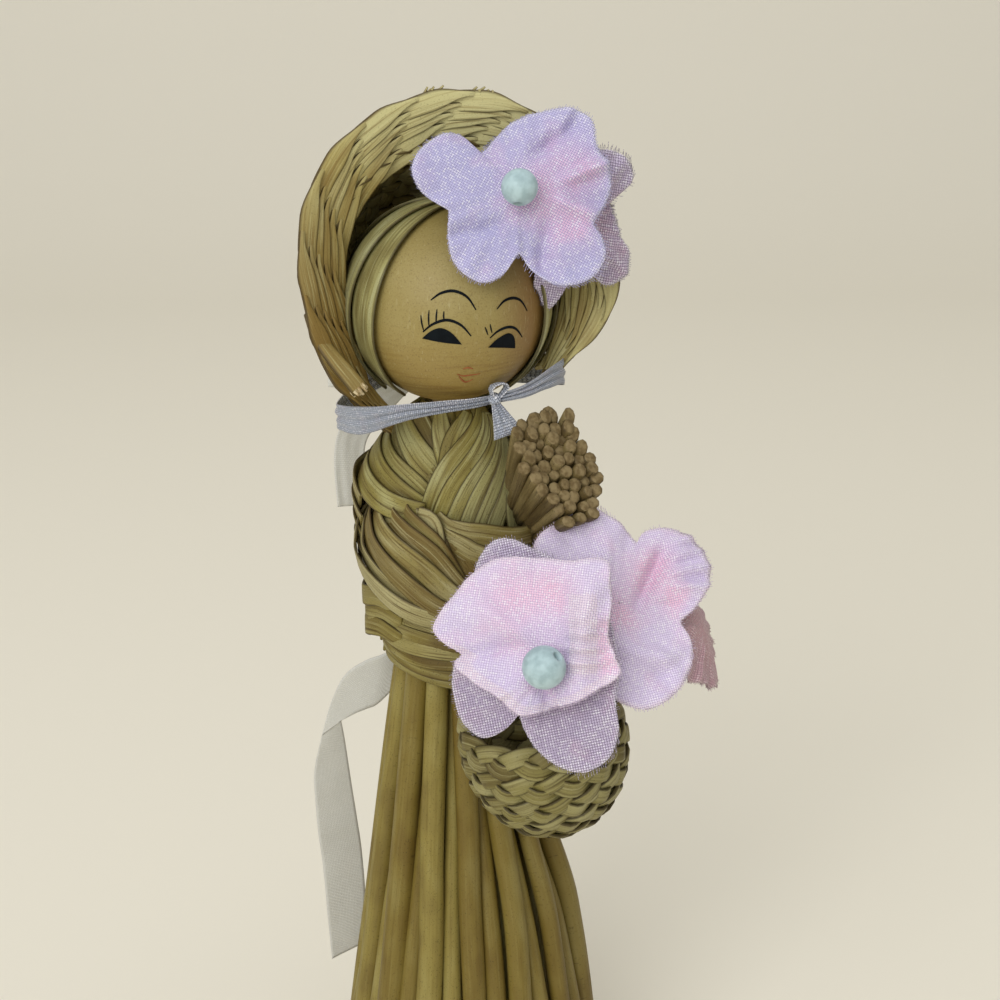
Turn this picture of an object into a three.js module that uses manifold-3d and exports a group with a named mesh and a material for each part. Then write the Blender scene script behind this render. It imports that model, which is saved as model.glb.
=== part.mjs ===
// A rush doll on a wooden peg: a turned ball head in a plaited bonnet, a wrapped bodice,
// a skirt of folded rushes and a plaited basket of cloth blossoms.
// Millimetres, +Z up, the doll faces -Y, and the origin is the middle of the peg's foot.
import * as THREE from "three";
import { mergeVertices } from "three/addons/utils/BufferGeometryUtils.js";
import Module from "manifold-3d";

const wasm = await Module();
wasm.setup();

// Driving dimensions, in millimetres and degrees.
const clearance = 0.3; // between two pieces that touch

const pegDiameter = 7;
const pegChamfer = 1;
const pegInHead = 15; // how far the peg goes into the ball

const skirtHeight = 118.5;
const skirtBaseRadius = 27.2; // to the middle of the outer rushes
const skirtWaistRadius = 10.2;
const rushCount = 14; // each is folded double, so it makes two legs of the skirt
const rushBaseDiameter = 5.2;
const rushWaistDiameter = 1.8;

const innerRushCount = 14; // in a ring under the outer rushes
const innerRushDiameter = 3.4;

const torsoHeight = 45.5; // waist to neck
const chestHeight = 28; // widest place of the bodice, above the waist
const chestRadius = 12;
const neckRadius = 5.5;
const torsoDepthRatio = 0.8; // front to back, as a share of side to side
const coreWaistRadius = 8.6;

const stripThickness = 1.5; // a layer of flattened rush
const armThickness = 3.2;
const waistBandHeight = 8;
const waistBandThickness = 1.5;

const tuftLength = 14.5;
const tuftSpread = 17; // of the outer stems from the tuft's axis
const tuftRootWidth = 4.2; // half the root, round the body
const tuftRootDepth = 1.6; // half the root, away from the body
const tuftStemDiameter = 2.7;
const tuftRings = 3; // rings of stems round the middle one
const tuftTurn = 58; // round the body from its front
const tuftLean = 22; // away from upright
const tuftHeight = 27; // of its root above the waist

const ballDiameter = 35;
const headTurn = 15.8; // the face looks this far to its left of the body's front
const neckGap = 0.5;

const hairThickness = 1.1;
const hairStripCount = 3; // on each side of the parting
const faceHalfAngle = 57; // from the middle of the face to the hair's edge
const partingTilt = 7; // the crown of the hair lies this far forward
const hairTop = 7; // polar angles where the strips start and end
const hairEnd = 143;

const plaitWidth = 15; // the bonnet's brim
const plaitThickness = 6;
const plaitPeriod = 36; // a strand comes back to the same edge after this length
const plaitStrandWidth = 5.2;
const plaitStrandThickness = 1.6;
const brimSideGap = 7.7; // from the ball to the brim's middle line
const brimTopGap = 11.5;
const brimRise = 2.5; // of the brim's centre above the ball's
const brimForward = 4; // of the brim's middle line, in front of the ball's centre
const brimFlare = 44; // the brim opens this far forward
const brimRightEnd = 146; // from the top round to the cut end at the doll's right
const brimLeftEnd = 112;

const crownWall = 1.6;
const crownRows = 5; // turns of plait that show as ridges
const crownRidge = 0.5;
const crownNeckCut = 11; // below the ball's centre the crown is open

const ribbonWidth = 7;
const ribbonThickness = 0.5;
const ribbonEase = 1.2; // slack of a run over the brim and the chin
const knotSize = 3.4;
const chinKnotTurn = 22; // from the middle of the face
const chinKnotDrop = 51; // below the ball's middle
const chinTailLength = 5.6;
const bowLoopLength = 17;
const bowTailSpread = 14;
const bowTailLength = 26;
const sashDrop = 3; // of the sash knot below the skirt's top
const sashSpread = 28; // the long tail's reach to the side
const sashBehind = 15;
const sashFall = 81; // of the long tail's cut end below the knot
const sashShortLength = 40;

const basketRadius = 15.5;
const basketDepth = 19;
const basketWall = 2.2;
const basketRows = 5;
const basketRidge = 0.6;
const basketTurn = 33; // round the skirt from its front
const basketRimDrop = 10.5; // of its rim below the skirt's top
const basketRoll = 13; // the side next to the doll's middle hangs lower

const petalCount = 5;
const petalThickness = 0.7;
const bonnetFlowerSide = 7.6; // along the brim, from its top to the front flower
const bonnetFlowerSpacing = 17.1; // along the brim, to the rear flower
const bonnetBlossomRadius = 17;
const bonnetRearRadius = 12;
const basketBlossomRadius = 18;
const basketSideRadius = 15;
const basketRearRadius = 10.5;
const petalNotch = 0.3; // how deep the outline goes in between petals
const layerRise = 2.4; // of one layer of a blossom over the next
const bonnetBeadDiameter = 6;
const basketBeadDiameter = 7.2;
const flowerStemDiameter = 1.2;
const wireBend = 5; // straight part of a wire behind its blossom

// Values worked out from the driving dimensions.
const rad = THREE.MathUtils.degToRad;
const lerp = THREE.MathUtils.lerp;
const point = (x, y, z) => new THREE.Vector3(x, y, z);
const ballRadius = ballDiameter / 2;
const brimHalfWidth = ballRadius + brimSideGap;
const brimHalfHeight = ballRadius + brimTopGap;
const neckHeight = skirtHeight + torsoHeight;
const ballHeight = neckHeight + neckGap + ballRadius;
const pegHoleRadius = pegDiameter / 2 + clearance;
const rushLegs = 2 * rushCount;
const basketRimHeight = skirtHeight - basketRimDrop;
const bodiceLift = clearance; // first layer of strips over the core
const bodiceOverLift = bodiceLift + stripThickness + clearance;
const armLift = bodiceOverLift + stripThickness + clearance;

const material = (color, roughness) => new THREE.MeshStandardMaterial({ color, roughness, metalness: 0 });
const rush = material(0x8f8440, 0.6);
const paleRush = material(0xa89a55, 0.6);
const tintedWood = material(0xb28f45, 0.55);
const bareWood = material(0xc9a877, 0.7);
const pinkCloth = material(0xe6c6dc, 0.7);
const lilacCloth = material(0xcdb6d6, 0.7);
const paleRibbon = material(0xd9cfd2, 0.5);
const mintBead = material(0xcfe0d2, 0.45);

const doll = new THREE.Group();
const head = new THREE.Group();
head.position.z = ballHeight;
head.rotation.z = rad(headTurn);
doll.add(head);

function add(group, name, geometry, finish) {
  const mesh = new THREE.Mesh(geometry, finish);
  mesh.name = name;
  group.add(mesh);
  return mesh;
}

function volume(geometry) {
  const p = geometry.getAttribute("position");
  const at = (i) => new THREE.Vector3().fromBufferAttribute(p, geometry.index.array[i]);
  let sum = 0;
  for (let i = 0; i < geometry.index.count; i += 3) sum += at(i).dot(at(i + 1).cross(at(i + 2))) / 6;
  return sum;
}

// Merges shared vertices, drops faces with no area and turns the skin to face outwards.
function tidy(geometry) {
  geometry.deleteAttribute("normal");
  geometry.deleteAttribute("uv");
  const merged = mergeVertices(geometry, 1e-4);
  const faces = [];
  for (let i = 0; i < merged.index.count; i += 3) {
    const [a, b, c] = merged.index.array.slice(i, i + 3);
    if (a !== b && b !== c && c !== a) faces.push([a, b, c]);
  }
  merged.setIndex(faces.flat());
  if (volume(merged) < 0) merged.setIndex(faces.map(([a, b, c]) => [a, c, b]).flat());
  merged.computeVertexNormals();
  return merged;
}

// A closed skin over rings of points. Each ring is an upper row and then a lower row back.
// An open loft is capped by the strip between its two rows, and a closed one meets its own start.
function loft(rings, closed = false) {
  const count = rings[0].length;
  const index = [];
  const turns = closed ? rings.length : rings.length - 1;
  for (let i = 0; i < turns; i++) {
    const next = ((i + 1) % rings.length) * count;
    for (let j = 0; j < count; j++) {
      const a = i * count + j;
      const b = i * count + ((j + 1) % count);
      const c = next + ((j + 1) % count);
      index.push(a, b, c, a, c, next + j);
    }
  }
  const last = (rings.length - 1) * count;
  for (let j = 0; !closed && j < count / 2 - 1; j++) {
    const k = count - 1 - j;
    index.push(j, k, k - 1, j, k - 1, j + 1);
    index.push(last + j, last + j + 1, last + k - 1, last + j, last + k - 1, last + k);
  }
  const geometry = new THREE.BufferGeometry().setFromPoints(rings.flat());
  geometry.setIndex(index);
  return tidy(geometry);
}

// A loft whose rings are one section, put in place along s from 0 to 1.
function sweep(steps, section, place, closed = false) {
  const rings = [];
  for (let i = 0; i <= steps - (closed ? 1 : 0); i++) {
    const s = i / steps;
    rings.push(section.map(([u, v]) => place(s, u, v)));
  }
  return loft(rings, closed);
}

// A round section of unit radius, as an upper and a lower row.
function roundSection(sides) {
  const half = sides / 2;
  const angle = (i) => Math.PI * (1 - (i + 0.5) / half);
  const row = Array.from({ length: half }, (_, i) => [Math.cos(angle(i)), Math.sin(angle(i))]);
  return [...row, ...row.map(([u, v]) => [u, -v]).reverse()];
}

// A flat strand, thin along its two edges.
const flatSection = [[-1, 0.3], [0, 1], [1, 0.3], [1, -0.3], [0, -1], [-1, -0.3]];

// Strips lying side by side: u runs from -1 to 1, v from 0 to 1 at a crest. The back is flat.
function stripSection(strips, groove, dome = 0) {
  const row = Array.from({ length: 2 * strips + 1 }, (_, i) => {
    const u = i / strips - 1;
    return [u, (i % 2 ? 1 : 1 - groove) * (1 - dome * u * u)];
  });
  return [...row, ...row.map(([u]) => [u, 0]).reverse()];
}

// A turned piece about +Z, from [radius, height] pairs.
function turned(profile, segments) {
  const lathe = new THREE.LatheGeometry(profile.map(([r, z]) => new THREE.Vector2(r, z)), segments);
  return tidy(lathe.rotateX(Math.PI / 2));
}

function solid(geometry) {
  const vertProperties = new Float32Array(geometry.getAttribute("position").array);
  const triVerts = new Uint32Array(geometry.index.array);
  return new wasm.Manifold(new wasm.Mesh({ numProp: 3, vertProperties, triVerts }));
}

function skinOf(body) {
  const { vertProperties, triVerts, numProp } = body.getMesh();
  const geometry = new THREE.BufferGeometry();
  const values = Array.from({ length: vertProperties.length / numProp }, (_, i) =>
    Array.from(vertProperties.slice(i * numProp, i * numProp + 3)),
  );
  geometry.setAttribute("position", new THREE.Float32BufferAttribute(values.flat(), 3));
  geometry.setIndex(Array.from(triVerts));
  return tidy(geometry);
}

const joined = (geometries) => geometries.map(solid).reduce((a, b) => a.add(b));

// A straight tapered stem between two points.
function stem(from, to, fromRadius, toRadius, sides) {
  const along = to.clone().sub(from).normalize();
  const across = Math.abs(along.z) < 0.9 ? point(0, 0, 1) : point(1, 0, 0);
  const side = across.cross(along).normalize();
  const up = along.clone().cross(side);
  return sweep(1, roundSection(sides), (s, u, v) => {
    const r = lerp(fromRadius, toRadius, s);
    return from.clone().lerp(to, s).addScaledVector(side, u * r).addScaledVector(up, v * r);
  });
}

// Peg: one dowel from the foot into the head.
const pegTop = ballHeight - ballRadius + pegInHead;
add(
  doll,
  "core_peg",
  turned(
    [
      [0, 0],
      [pegDiameter / 2, 0],
      [pegDiameter / 2, pegTop - pegChamfer],
      [pegDiameter / 2 - pegChamfer, pegTop],
      [0, pegTop],
    ],
    16,
  ),
  bareWood,
);

// Skirt: where the middle of an outer rush lies at a height.
const skirtRadius = (z) => lerp(skirtBaseRadius, skirtWaistRadius, z / skirtHeight);
const rushDiameter = (z) => lerp(rushBaseDiameter, rushWaistDiameter, z / skirtHeight);

// One rush: up one leg, over a small bend at the waist, and down the next leg.
function foldedRush(index) {
  const legTurn = (2 * Math.PI) / rushLegs;
  const firstTurn = (2 * index + 0.5) * legTurn;
  const bendRadius = skirtWaistRadius * Math.sin(legTurn / 2);
  const legSteps = 3;
  const bendSteps = 4;
  const middle = [];
  const legPoint = (turn, z) => {
    const r = skirtRadius(z);
    return point(r * Math.sin(turn), -r * Math.cos(turn), z);
  };
  const legHeight = (i) => (skirtHeight * i) / legSteps;
  for (let i = 0; i <= legSteps; i++) middle.push(legPoint(firstTurn, legHeight(i)));
  for (let i = 1; i < bendSteps; i++) {
    const a = (Math.PI * i) / bendSteps;
    const turn = firstTurn + (legTurn * (1 - Math.cos(a))) / 2;
    middle.push(legPoint(turn, skirtHeight).setZ(skirtHeight + bendRadius * Math.sin(a)));
  }
  for (let i = legSteps; i >= 0; i--) middle.push(legPoint(firstTurn + legTurn, legHeight(i)));
  const outTurn = firstTurn + legTurn / 2;
  const out = point(Math.sin(outTurn), -Math.cos(outTurn), 0);
  const section = roundSection(6);
  const rings = middle.map((p, i) => {
    const before = middle[Math.max(i - 1, 0)];
    const after = middle[Math.min(i + 1, middle.length - 1)];
    const side = out.clone().cross(after.clone().sub(before)).normalize();
    const r = rushDiameter(Math.min(p.z, skirtHeight)) / 2;
    const foot = p.z === 0;
    return section.map(([u, v]) => {
      const q = p.clone().addScaledVector(side, u * r).addScaledVector(out, v * r);
      return foot ? q.setZ(0) : q;
    });
  });
  return loft(rings);
}
for (let i = 0; i < rushCount; i++)
  add(doll, `skirt_rush_${String(i + 1).padStart(2, "0")}`, foldedRush(i), rush);

// Torso: the side-to-side radius of the tight core at a height.
const chestZ = skirtHeight + chestHeight;
function torsoRadius(z) {
  const below = Math.min(Math.max((z - skirtHeight) / chestHeight, 0), 1);
  const above = Math.min(Math.max((z - chestZ) / (neckHeight - chestZ), 0), 1);
  const quarter = Math.PI / 2;
  return z < chestZ
    ? lerp(coreWaistRadius, chestRadius, Math.sin(quarter * below))
    : lerp(neckRadius, chestRadius, Math.cos(quarter * above));
}
const onTorso = (turn, z, lift) => {
  const r = torsoRadius(z);
  return point((r + lift) * Math.sin(turn), -(r * torsoDepthRatio + lift) * Math.cos(turn), z);
};

// Core bundle: inner rushes bound tight round the peg above the waist and spread below it.
function coreBundle() {
  const parts = [];
  const outerFoot = skirtBaseRadius - rushBaseDiameter / 2 - innerRushDiameter / 2 - clearance;
  const outerWaist = coreWaistRadius - innerRushDiameter / 2;
  const tops = skirtHeight + clearance;
  for (let i = 0; i < innerRushCount; i++) {
    const turn = (i * 2 * Math.PI) / innerRushCount;
    const out = point(Math.sin(turn), -Math.cos(turn), 0);
    const from = out.clone().multiplyScalar(outerFoot);
    const to = out.clone().multiplyScalar(outerWaist).setZ(tops);
    parts.push(stem(from, to, innerRushDiameter / 2, innerRushDiameter / 2, 6));
  }
  const steps = 9;
  const profile = [[0, skirtHeight - innerRushDiameter]];
  for (let i = 0; i <= steps; i++) {
    const z = lerp(skirtHeight - innerRushDiameter, neckHeight, i / steps);
    profile.push([torsoRadius(z), z]);
  }
  profile.push([0, neckHeight]);
  parts.push(turned(profile, 20).scale(1, torsoDepthRatio, 1));
  const hole = turned(
    [
      [0, -clearance],
      [pegHoleRadius, -clearance],
      [pegHoleRadius, neckHeight + clearance],
      [0, neckHeight + clearance],
    ],
    16,
  );
  const floor = new THREE.BoxGeometry(4 * skirtBaseRadius, 4 * skirtBaseRadius, innerRushDiameter);
  floor.translate(0, 0, -innerRushDiameter / 2);
  return skinOf(joined(parts).subtract(solid(hole)).subtract(solid(tidy(floor))));
}
add(doll, "core_bundle", coreBundle(), rush);

// A layer of strips on the torso. Corners are [turn, share of the torso's height] at the
// lower and upper edge of the start and of the end, with the front at turn 0.
function torsoBand({ start, end, strips, thickness, lift, dome = 0, steps = 6 }) {
  const corner = ([turn, share]) => [rad(turn), skirtHeight + share * torsoHeight];
  const [startLow, startHigh] = start.map(corner);
  const [endLow, endHigh] = end.map(corner);
  return sweep(steps, stripSection(strips, 0.35, dome), (s, u, v) => {
    const across = (u + 1) / 2;
    const turn = lerp(lerp(startLow[0], startHigh[0], across), lerp(endLow[0], endHigh[0], across), s);
    const z = lerp(lerp(startLow[1], startHigh[1], across), lerp(endLow[1], endHigh[1], across), s);
    return onTorso(turn, z, lift + v * thickness);
  });
}

// Bodice: two crossed layers in front, and the same two turned half round for the back.
const bodiceTop = 1 - clearance / torsoHeight;
const bodiceFoot = (waistBandHeight / 2 + 2 * clearance) / torsoHeight;
const underStart = [-125, -8];
const underEnd = [-52, 35];
const overStart = [12, 76];
const overEnd = [-25, 56];
for (const [side, half] of [["front", 0], ["back", 180]]) {
  const under = {
    start: underStart.map((turn) => [turn + half, bodiceTop]),
    end: [
      [underEnd[0] + half, bodiceFoot + 0.07],
      [underEnd[1] + half, bodiceFoot + 0.35],
    ],
    strips: 6,
    thickness: stripThickness,
    lift: bodiceLift,
  };
  const over = {
    start: overStart.map((turn) => [turn + half, bodiceTop]),
    end: overEnd.map((turn) => [turn + half, bodiceFoot + 0.04]),
    strips: 5,
    thickness: stripThickness,
    lift: bodiceOverLift,
  };
  add(doll, `bodice_${side}_under`, torsoBand(under), rush);
  add(doll, `bodice_${side}_over`, torsoBand(over), paleRush);
}

// Arms: domed bands from behind each shoulder to the hands in front.
const rightArm = {
  start: [[-165, 0.35], [-165, 0.835]],
  end: [[20, bodiceFoot + 0.01], [20, 0.308]],
  strips: 5,
  thickness: armThickness,
  lift: armLift,
  dome: 0.45,
  steps: 10,
};
const leftArm = {
  start: [[150, 0.308], [150, 0.593]],
  end: [[13, 0.34], [13, 0.505]],
  strips: 4,
  thickness: armThickness,
  lift: armLift,
  dome: 0.45,
  steps: 8,
};
add(doll, "arm_right", torsoBand(rightArm), paleRush);
add(doll, "arm_left", torsoBand(leftArm), rush);

// Waist band: strips wound level round the tops of the rushes.
const waistLow = skirtHeight - waistBandHeight / 2;
const waistInner = skirtRadius(waistLow) + rushDiameter(waistLow) / 2 + clearance;
const waistOuter = waistInner + waistBandThickness;
function waistBand() {
  const strips = 3;
  const profile = [];
  for (let i = 0; i <= 2 * strips; i++) {
    const crest = i % 2 ? waistBandThickness : waistBandThickness * 0.7;
    profile.push([waistInner + crest, waistLow + (waistBandHeight * i) / (2 * strips)]);
  }
  profile.push([waistInner, waistLow + waistBandHeight], [waistInner, waistLow], profile[0]);
  return turned(profile, 24);
}
add(doll, "waist_band", waistBand(), rush);

// Shoulder tuft: cut stems that fan out of one root, in rings round a middle stem.
function tuft() {
  const turn = rad(tuftTurn);
  const rootLift = armLift + tuftRootDepth + tuftStemDiameter / 2;
  const root = onTorso(turn, skirtHeight + tuftHeight, rootLift);
  const out = point(Math.sin(turn), -Math.cos(turn), 0);
  const lean = rad(tuftLean);
  const axis = point(0, 0, Math.cos(lean)).addScaledVector(out, Math.sin(lean));
  const side = point(-out.y, out.x, 0);
  const up = axis.clone().cross(side);
  const stems = [];
  for (let ring = 0; ring <= tuftRings; ring++) {
    for (let i = 0; i < Math.max(6 * ring, 1); i++) {
      const a = (2 * Math.PI * (i + ring / 2)) / Math.max(6 * ring, 1);
      const away = side.clone().multiplyScalar(Math.cos(a)).addScaledVector(up, Math.sin(a));
      const share = ring / tuftRings;
      const from = root.clone().addScaledVector(side, share * Math.cos(a) * tuftRootWidth);
      from.addScaledVector(up, share * Math.sin(a) * tuftRootDepth);
      const spread = rad(tuftSpread * share);
      const to = from.clone().addScaledVector(axis, tuftLength * Math.cos(spread));
      to.addScaledVector(away, tuftLength * Math.sin(spread));
      to.addScaledVector(up, share * Math.sin(a) * (tuftRootWidth - tuftRootDepth));
      stems.push(stem(from, to, tuftStemDiameter * 0.45, tuftStemDiameter / 2, 6));
    }
  }
  return skinOf(joined(stems));
}
add(doll, "shoulder_tuft", tuft(), rush);

// Head ball, with a blind hole for the peg.
function headBall() {
  const holeTop = pegInHead - ballRadius + clearance;
  const mouth = -Math.sqrt(ballRadius ** 2 - pegHoleRadius ** 2);
  const profile = [
    [0, holeTop],
    [pegHoleRadius, holeTop],
  ];
  const from = Math.atan2(mouth, pegHoleRadius);
  const steps = 13;
  for (let i = 0; i <= steps; i++) {
    const a = lerp(from, Math.PI / 2, i / steps);
    profile.push([i === steps ? 0 : ballRadius * Math.cos(a), ballRadius * Math.sin(a)]);
  }
  return turned(profile, 24);
}
add(head, "head_ball", headBall(), tintedWood);

// Hair: strips along meridians of the ball, from the parting to the nape.
const hairLift = clearance;
const hairRadius = ballRadius + hairLift + hairThickness;
const hairGap = clearance / ballRadius; // half the slit between two strips, as an angle
function hairStrip(side, index) {
  const wide = (Math.PI - rad(faceHalfAngle)) / hairStripCount;
  const middle = rad(faceHalfAngle) + (index + 0.5) * wide;
  const tilt = rad(partingTilt);
  return sweep(8, stripSection(3, 0.3), (s, u, v) => {
    const polar = rad(lerp(hairTop, hairEnd, s));
    const slit = hairGap / Math.sin(polar);
    const turn = middle + (u * wide) / 2 - Math.sign(u) * Math.min(slit, wide / 3);
    const r = ballRadius + hairLift + v * hairThickness;
    const x = side * r * Math.sin(polar) * Math.sin(turn);
    const y = -r * Math.sin(polar) * Math.cos(turn);
    return point(x, y, r * Math.cos(polar)).applyAxisAngle(point(1, 0, 0), tilt);
  });
}
for (const [name, side] of [["right", -1], ["left", 1]])
  for (let i = 0; i < hairStripCount; i++)
    add(head, `hair_${name}_${i + 1}`, hairStrip(side, i), paleRush);

// Bonnet brim: a plait of three flat strands on an oval that opens forward.
// A strand swings from edge to edge once in a period and rises and dips twice.
const brimLean = rad(brimFlare);
function brimFrame(turn) {
  const height = brimRise + brimHalfHeight * Math.cos(turn);
  const middle = point(brimHalfWidth * Math.sin(turn), -brimForward, height);
  const out = point(Math.sin(turn) / brimHalfWidth, 0, Math.cos(turn) / brimHalfHeight).normalize();
  const wide = out.clone().multiplyScalar(Math.cos(brimLean)).add(point(0, -Math.sin(brimLean), 0));
  const face = out.clone().multiplyScalar(Math.sin(brimLean)).add(point(0, Math.cos(brimLean), 0));
  return { middle, wide, face };
}
const brimMeanRadius = Math.sqrt((brimHalfWidth ** 2 + brimHalfHeight ** 2) / 2);
function brimStrand(index) {
  const swing = (plaitWidth - plaitStrandWidth) / 2;
  const dip = (plaitThickness - plaitStrandThickness) / 2;
  const start = -rad(brimRightEnd);
  const arc = rad(brimRightEnd + brimLeftEnd);
  const turns = (arc * brimMeanRadius) / plaitPeriod;
  const steps = Math.ceil(turns * 11);
  return sweep(steps, flatSection, (s, u, v) => {
    const { middle, wide, face } = brimFrame(start + arc * s);
    const phase = 2 * Math.PI * (turns * s + index / 3);
    const across = swing * Math.sin(phase) + (u * plaitStrandWidth) / 2;
    const depth = dip * Math.sin(2 * phase) + (v * plaitStrandThickness) / 2;
    return middle.addScaledVector(wide, across).addScaledVector(face, depth);
  });
}
for (let i = 0; i < 3; i++) add(head, `bonnet_brim_strand_${i + 1}`, brimStrand(i), paleRush);

// Bonnet crown: a coiled cap behind the head, open at the neck.
function bonnetCrown() {
  const inside = hairRadius + 2 * clearance;
  const rise = brimHalfHeight - (plaitWidth / 2) * Math.cos(brimLean) - crownWall - inside;
  const rows = 2 * crownRows;
  const wall = (i) => crownWall + (i % 2 ? crownRidge : 0);
  const arc = (i) => ((i / rows) * Math.PI) / 2;
  const outer = [];
  const inner = [];
  for (let i = 0; i <= rows; i++) {
    const reach = inside + wall(i);
    outer.push([i === 0 ? 0 : reach * Math.sin(arc(i)), reach * Math.cos(arc(i))]);
    inner.unshift([i === 0 ? 0 : inside * Math.sin(arc(i)), inside * Math.cos(arc(i))]);
  }
  const cap = turned([...outer, ...inner], 20).rotateX(-Math.PI / 2);
  cap.scale(1, 1, (inside + rise) / inside);
  const rim = (plaitWidth / 2) * Math.sin(brimLean) - brimForward + plaitStrandThickness + clearance;
  cap.translate(0, rim, brimRise);
  const neck = new THREE.BoxGeometry(4 * ballDiameter, 4 * ballDiameter, ballDiameter);
  neck.translate(0, 0, -crownNeckCut - ballDiameter / 2);
  return skinOf(solid(tidy(cap)).subtract(solid(tidy(neck))));
}
add(head, "bonnet_crown", bonnetCrown(), paleRush);

// A flat ribbon along points. Each point has the direction of the ribbon's width there.
function ribbon(points, widths, steps = 10, widthAt = () => 1) {
  const path = new THREE.CatmullRomCurve3(points);
  const wideCurve = new THREE.CatmullRomCurve3(widths);
  const corner = Math.SQRT2;
  return sweep(steps, roundSection(4), (s, u, v) => {
    const along = path.getTangent(s);
    const wide = wideCurve.getPoint(s);
    wide.addScaledVector(along, -wide.dot(along)).normalize();
    const face = along.clone().cross(wide);
    return path
      .getPoint(s)
      .addScaledVector(wide, (u * corner * ribbonWidth * widthAt(s)) / 2)
      .addScaledVector(face, (v * corner * ribbonThickness) / 2);
  });
}

const knotShape = (size) => tidy(new THREE.SphereGeometry(size / 2, 8, 6));
const upright = point(0, 0, 1);
const tailGap = 0.15 * ribbonWidth + clearance; // half the space between two tails at their knot
const tailWidth = (s) => lerp(0.25, 0.8, Math.min(1, 4 * s));

// Chin ribbon: a run to each side of a knot under the chin, round the ends of the brim to the nape.
const chinKnotReach = ballRadius + knotSize / 2 + clearance;
const chinKnotPlace = point(0, -chinKnotReach, 0)
  .applyAxisAngle(point(1, 0, 0), rad(chinKnotDrop))
  .applyAxisAngle(upright, rad(chinKnotTurn));
const napeReach = Math.sqrt(hairRadius ** 2 - crownNeckCut ** 2) + clearance + ribbonThickness;
const napeDrop = -crownNeckCut - ribbonWidth / 2 - ribbonEase;
const brimGap = clearance + ribbonThickness + ribbonEase;
function brimPoint(turn, across, depth) {
  const { middle, wide, face } = brimFrame(rad(turn));
  return middle.addScaledVector(wide, across).addScaledVector(face, depth);
}
const pinch = (s) => Math.min(1, 0.4 + 2.4 * s);
function chinRun(side) {
  const nearEnd = side < 0 ? brimRightEnd : brimLeftEnd;
  const pastEnd = THREE.MathUtils.radToDeg((ribbonWidth / 2 + brimGap) / brimHalfWidth);
  const turn = side < 0 ? -(nearEnd - pastEnd) : nearEnd + pastEnd;
  const front = brimPoint(turn, 0, -plaitThickness / 2 - brimGap);
  const edge = brimPoint(turn, plaitWidth / 2 + brimGap, 0);
  const back = brimPoint(turn, 0, plaitThickness / 2 + brimGap);
  const alongBrim = brimPoint(turn - side, 0, 0).sub(brimPoint(turn + side, 0, 0)).normalize();
  const start = chinKnotPlace.clone().add(point(side * (knotSize / 2 + clearance), 0, 0));
  const nape = point(side * (knotSize / 2 + clearance), napeReach, napeDrop);
  const beside = point(side * napeReach * Math.SQRT1_2, napeReach * Math.SQRT1_2, napeDrop);
  const chinDepth = chinKnotReach * Math.cos(rad(chinKnotDrop)) + ribbonEase;
  const under = start.clone().lerp(front, 0.45).setY(-chinDepth);
  const overBrim = side < 0 ? [front, edge, back] : [front, back];
  const points = [start, under, ...overBrim, beside, nape];
  const held = overBrim.map(() => alongBrim);
  return ribbon(points, [upright, upright, ...held, upright, upright], 18, pinch);
}
add(head, "chin_ribbon_right", chinRun(-1), paleRibbon);
add(head, "chin_ribbon_left", chinRun(1), paleRibbon);

function chinKnot() {
  const out = chinKnotPlace.clone().setZ(0).normalize();
  const down = point(0, 0, -1).addScaledVector(out, 0.25).normalize();
  const side = out.clone().cross(upright);
  const from = chinKnotPlace.clone();
  const to = from.clone().addScaledVector(down, chinTailLength + knotSize / 2);
  const flare = (s) => lerp(0.3, 0.9, s);
  const halfway = from.clone().lerp(to, 0.5).addScaledVector(out, 0.8 * ribbonThickness);
  const tail = ribbon([from, halfway, to], [side, side, side], 4, flare);
  return skinOf(joined([knotShape(knotSize).translate(...chinKnotPlace.toArray()), tail]));
}
add(head, "chin_knot", chinKnot(), paleRibbon);

// Bow at the nape: a knot, two loops that lie level and two hanging tails.
const napeKnotPlace = point(0, napeReach + knotSize / 2, napeDrop);
add(head, "bow_knot", knotShape(knotSize).translate(...napeKnotPlace.toArray()), paleRibbon);
for (const [name, side] of [["right", -1], ["left", 1]]) {
  const from = napeKnotPlace.clone().add(point(side * (knotSize / 2 + clearance), 0, 0));
  const reach = (x, y, z) => from.clone().add(point(side * x, y, z));
  const loop = [
    reach(0, ribbonThickness * 1.5, 0),
    reach(bowLoopLength * 0.55, bowLoopLength * 0.2, 0),
    reach(bowLoopLength, bowLoopLength * 0.08, 0),
    reach(bowLoopLength * 0.55, -bowLoopLength * 0.05, 0),
    reach(0, -ribbonThickness * 1.5, 0),
  ];
  const loopWidth = (s) => lerp(0.3, 0.8, Math.min(1, 5 * Math.min(s, 1 - s)));
  add(head, `bow_loop_${name}`, ribbon(loop, loop.map(() => upright), 10, loopWidth), paleRibbon);
  const below = napeKnotPlace.clone().add(point(side * tailGap, 0, -knotSize / 2 - clearance));
  const hang = (x, y, z) => below.clone().add(point(side * x, y, z));
  const tail = [
    hang(0, 0, 0),
    hang(bowTailSpread * 0.5, bowLoopLength * 0.25, -bowTailLength * 0.2),
    hang(bowTailSpread * 0.95, bowLoopLength * 0.3, -bowTailLength * 0.5),
    hang(bowTailSpread, bowLoopLength * 0.2, -bowTailLength),
  ];
  const flat = [point(side, 0, 0), point(side, 0, 0.6), point(side, 0, 0.3), point(side, 0, 0)];
  add(head, `bow_tail_${name}`, ribbon(tail, flat, 8, tailWidth), paleRibbon);
}

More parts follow.
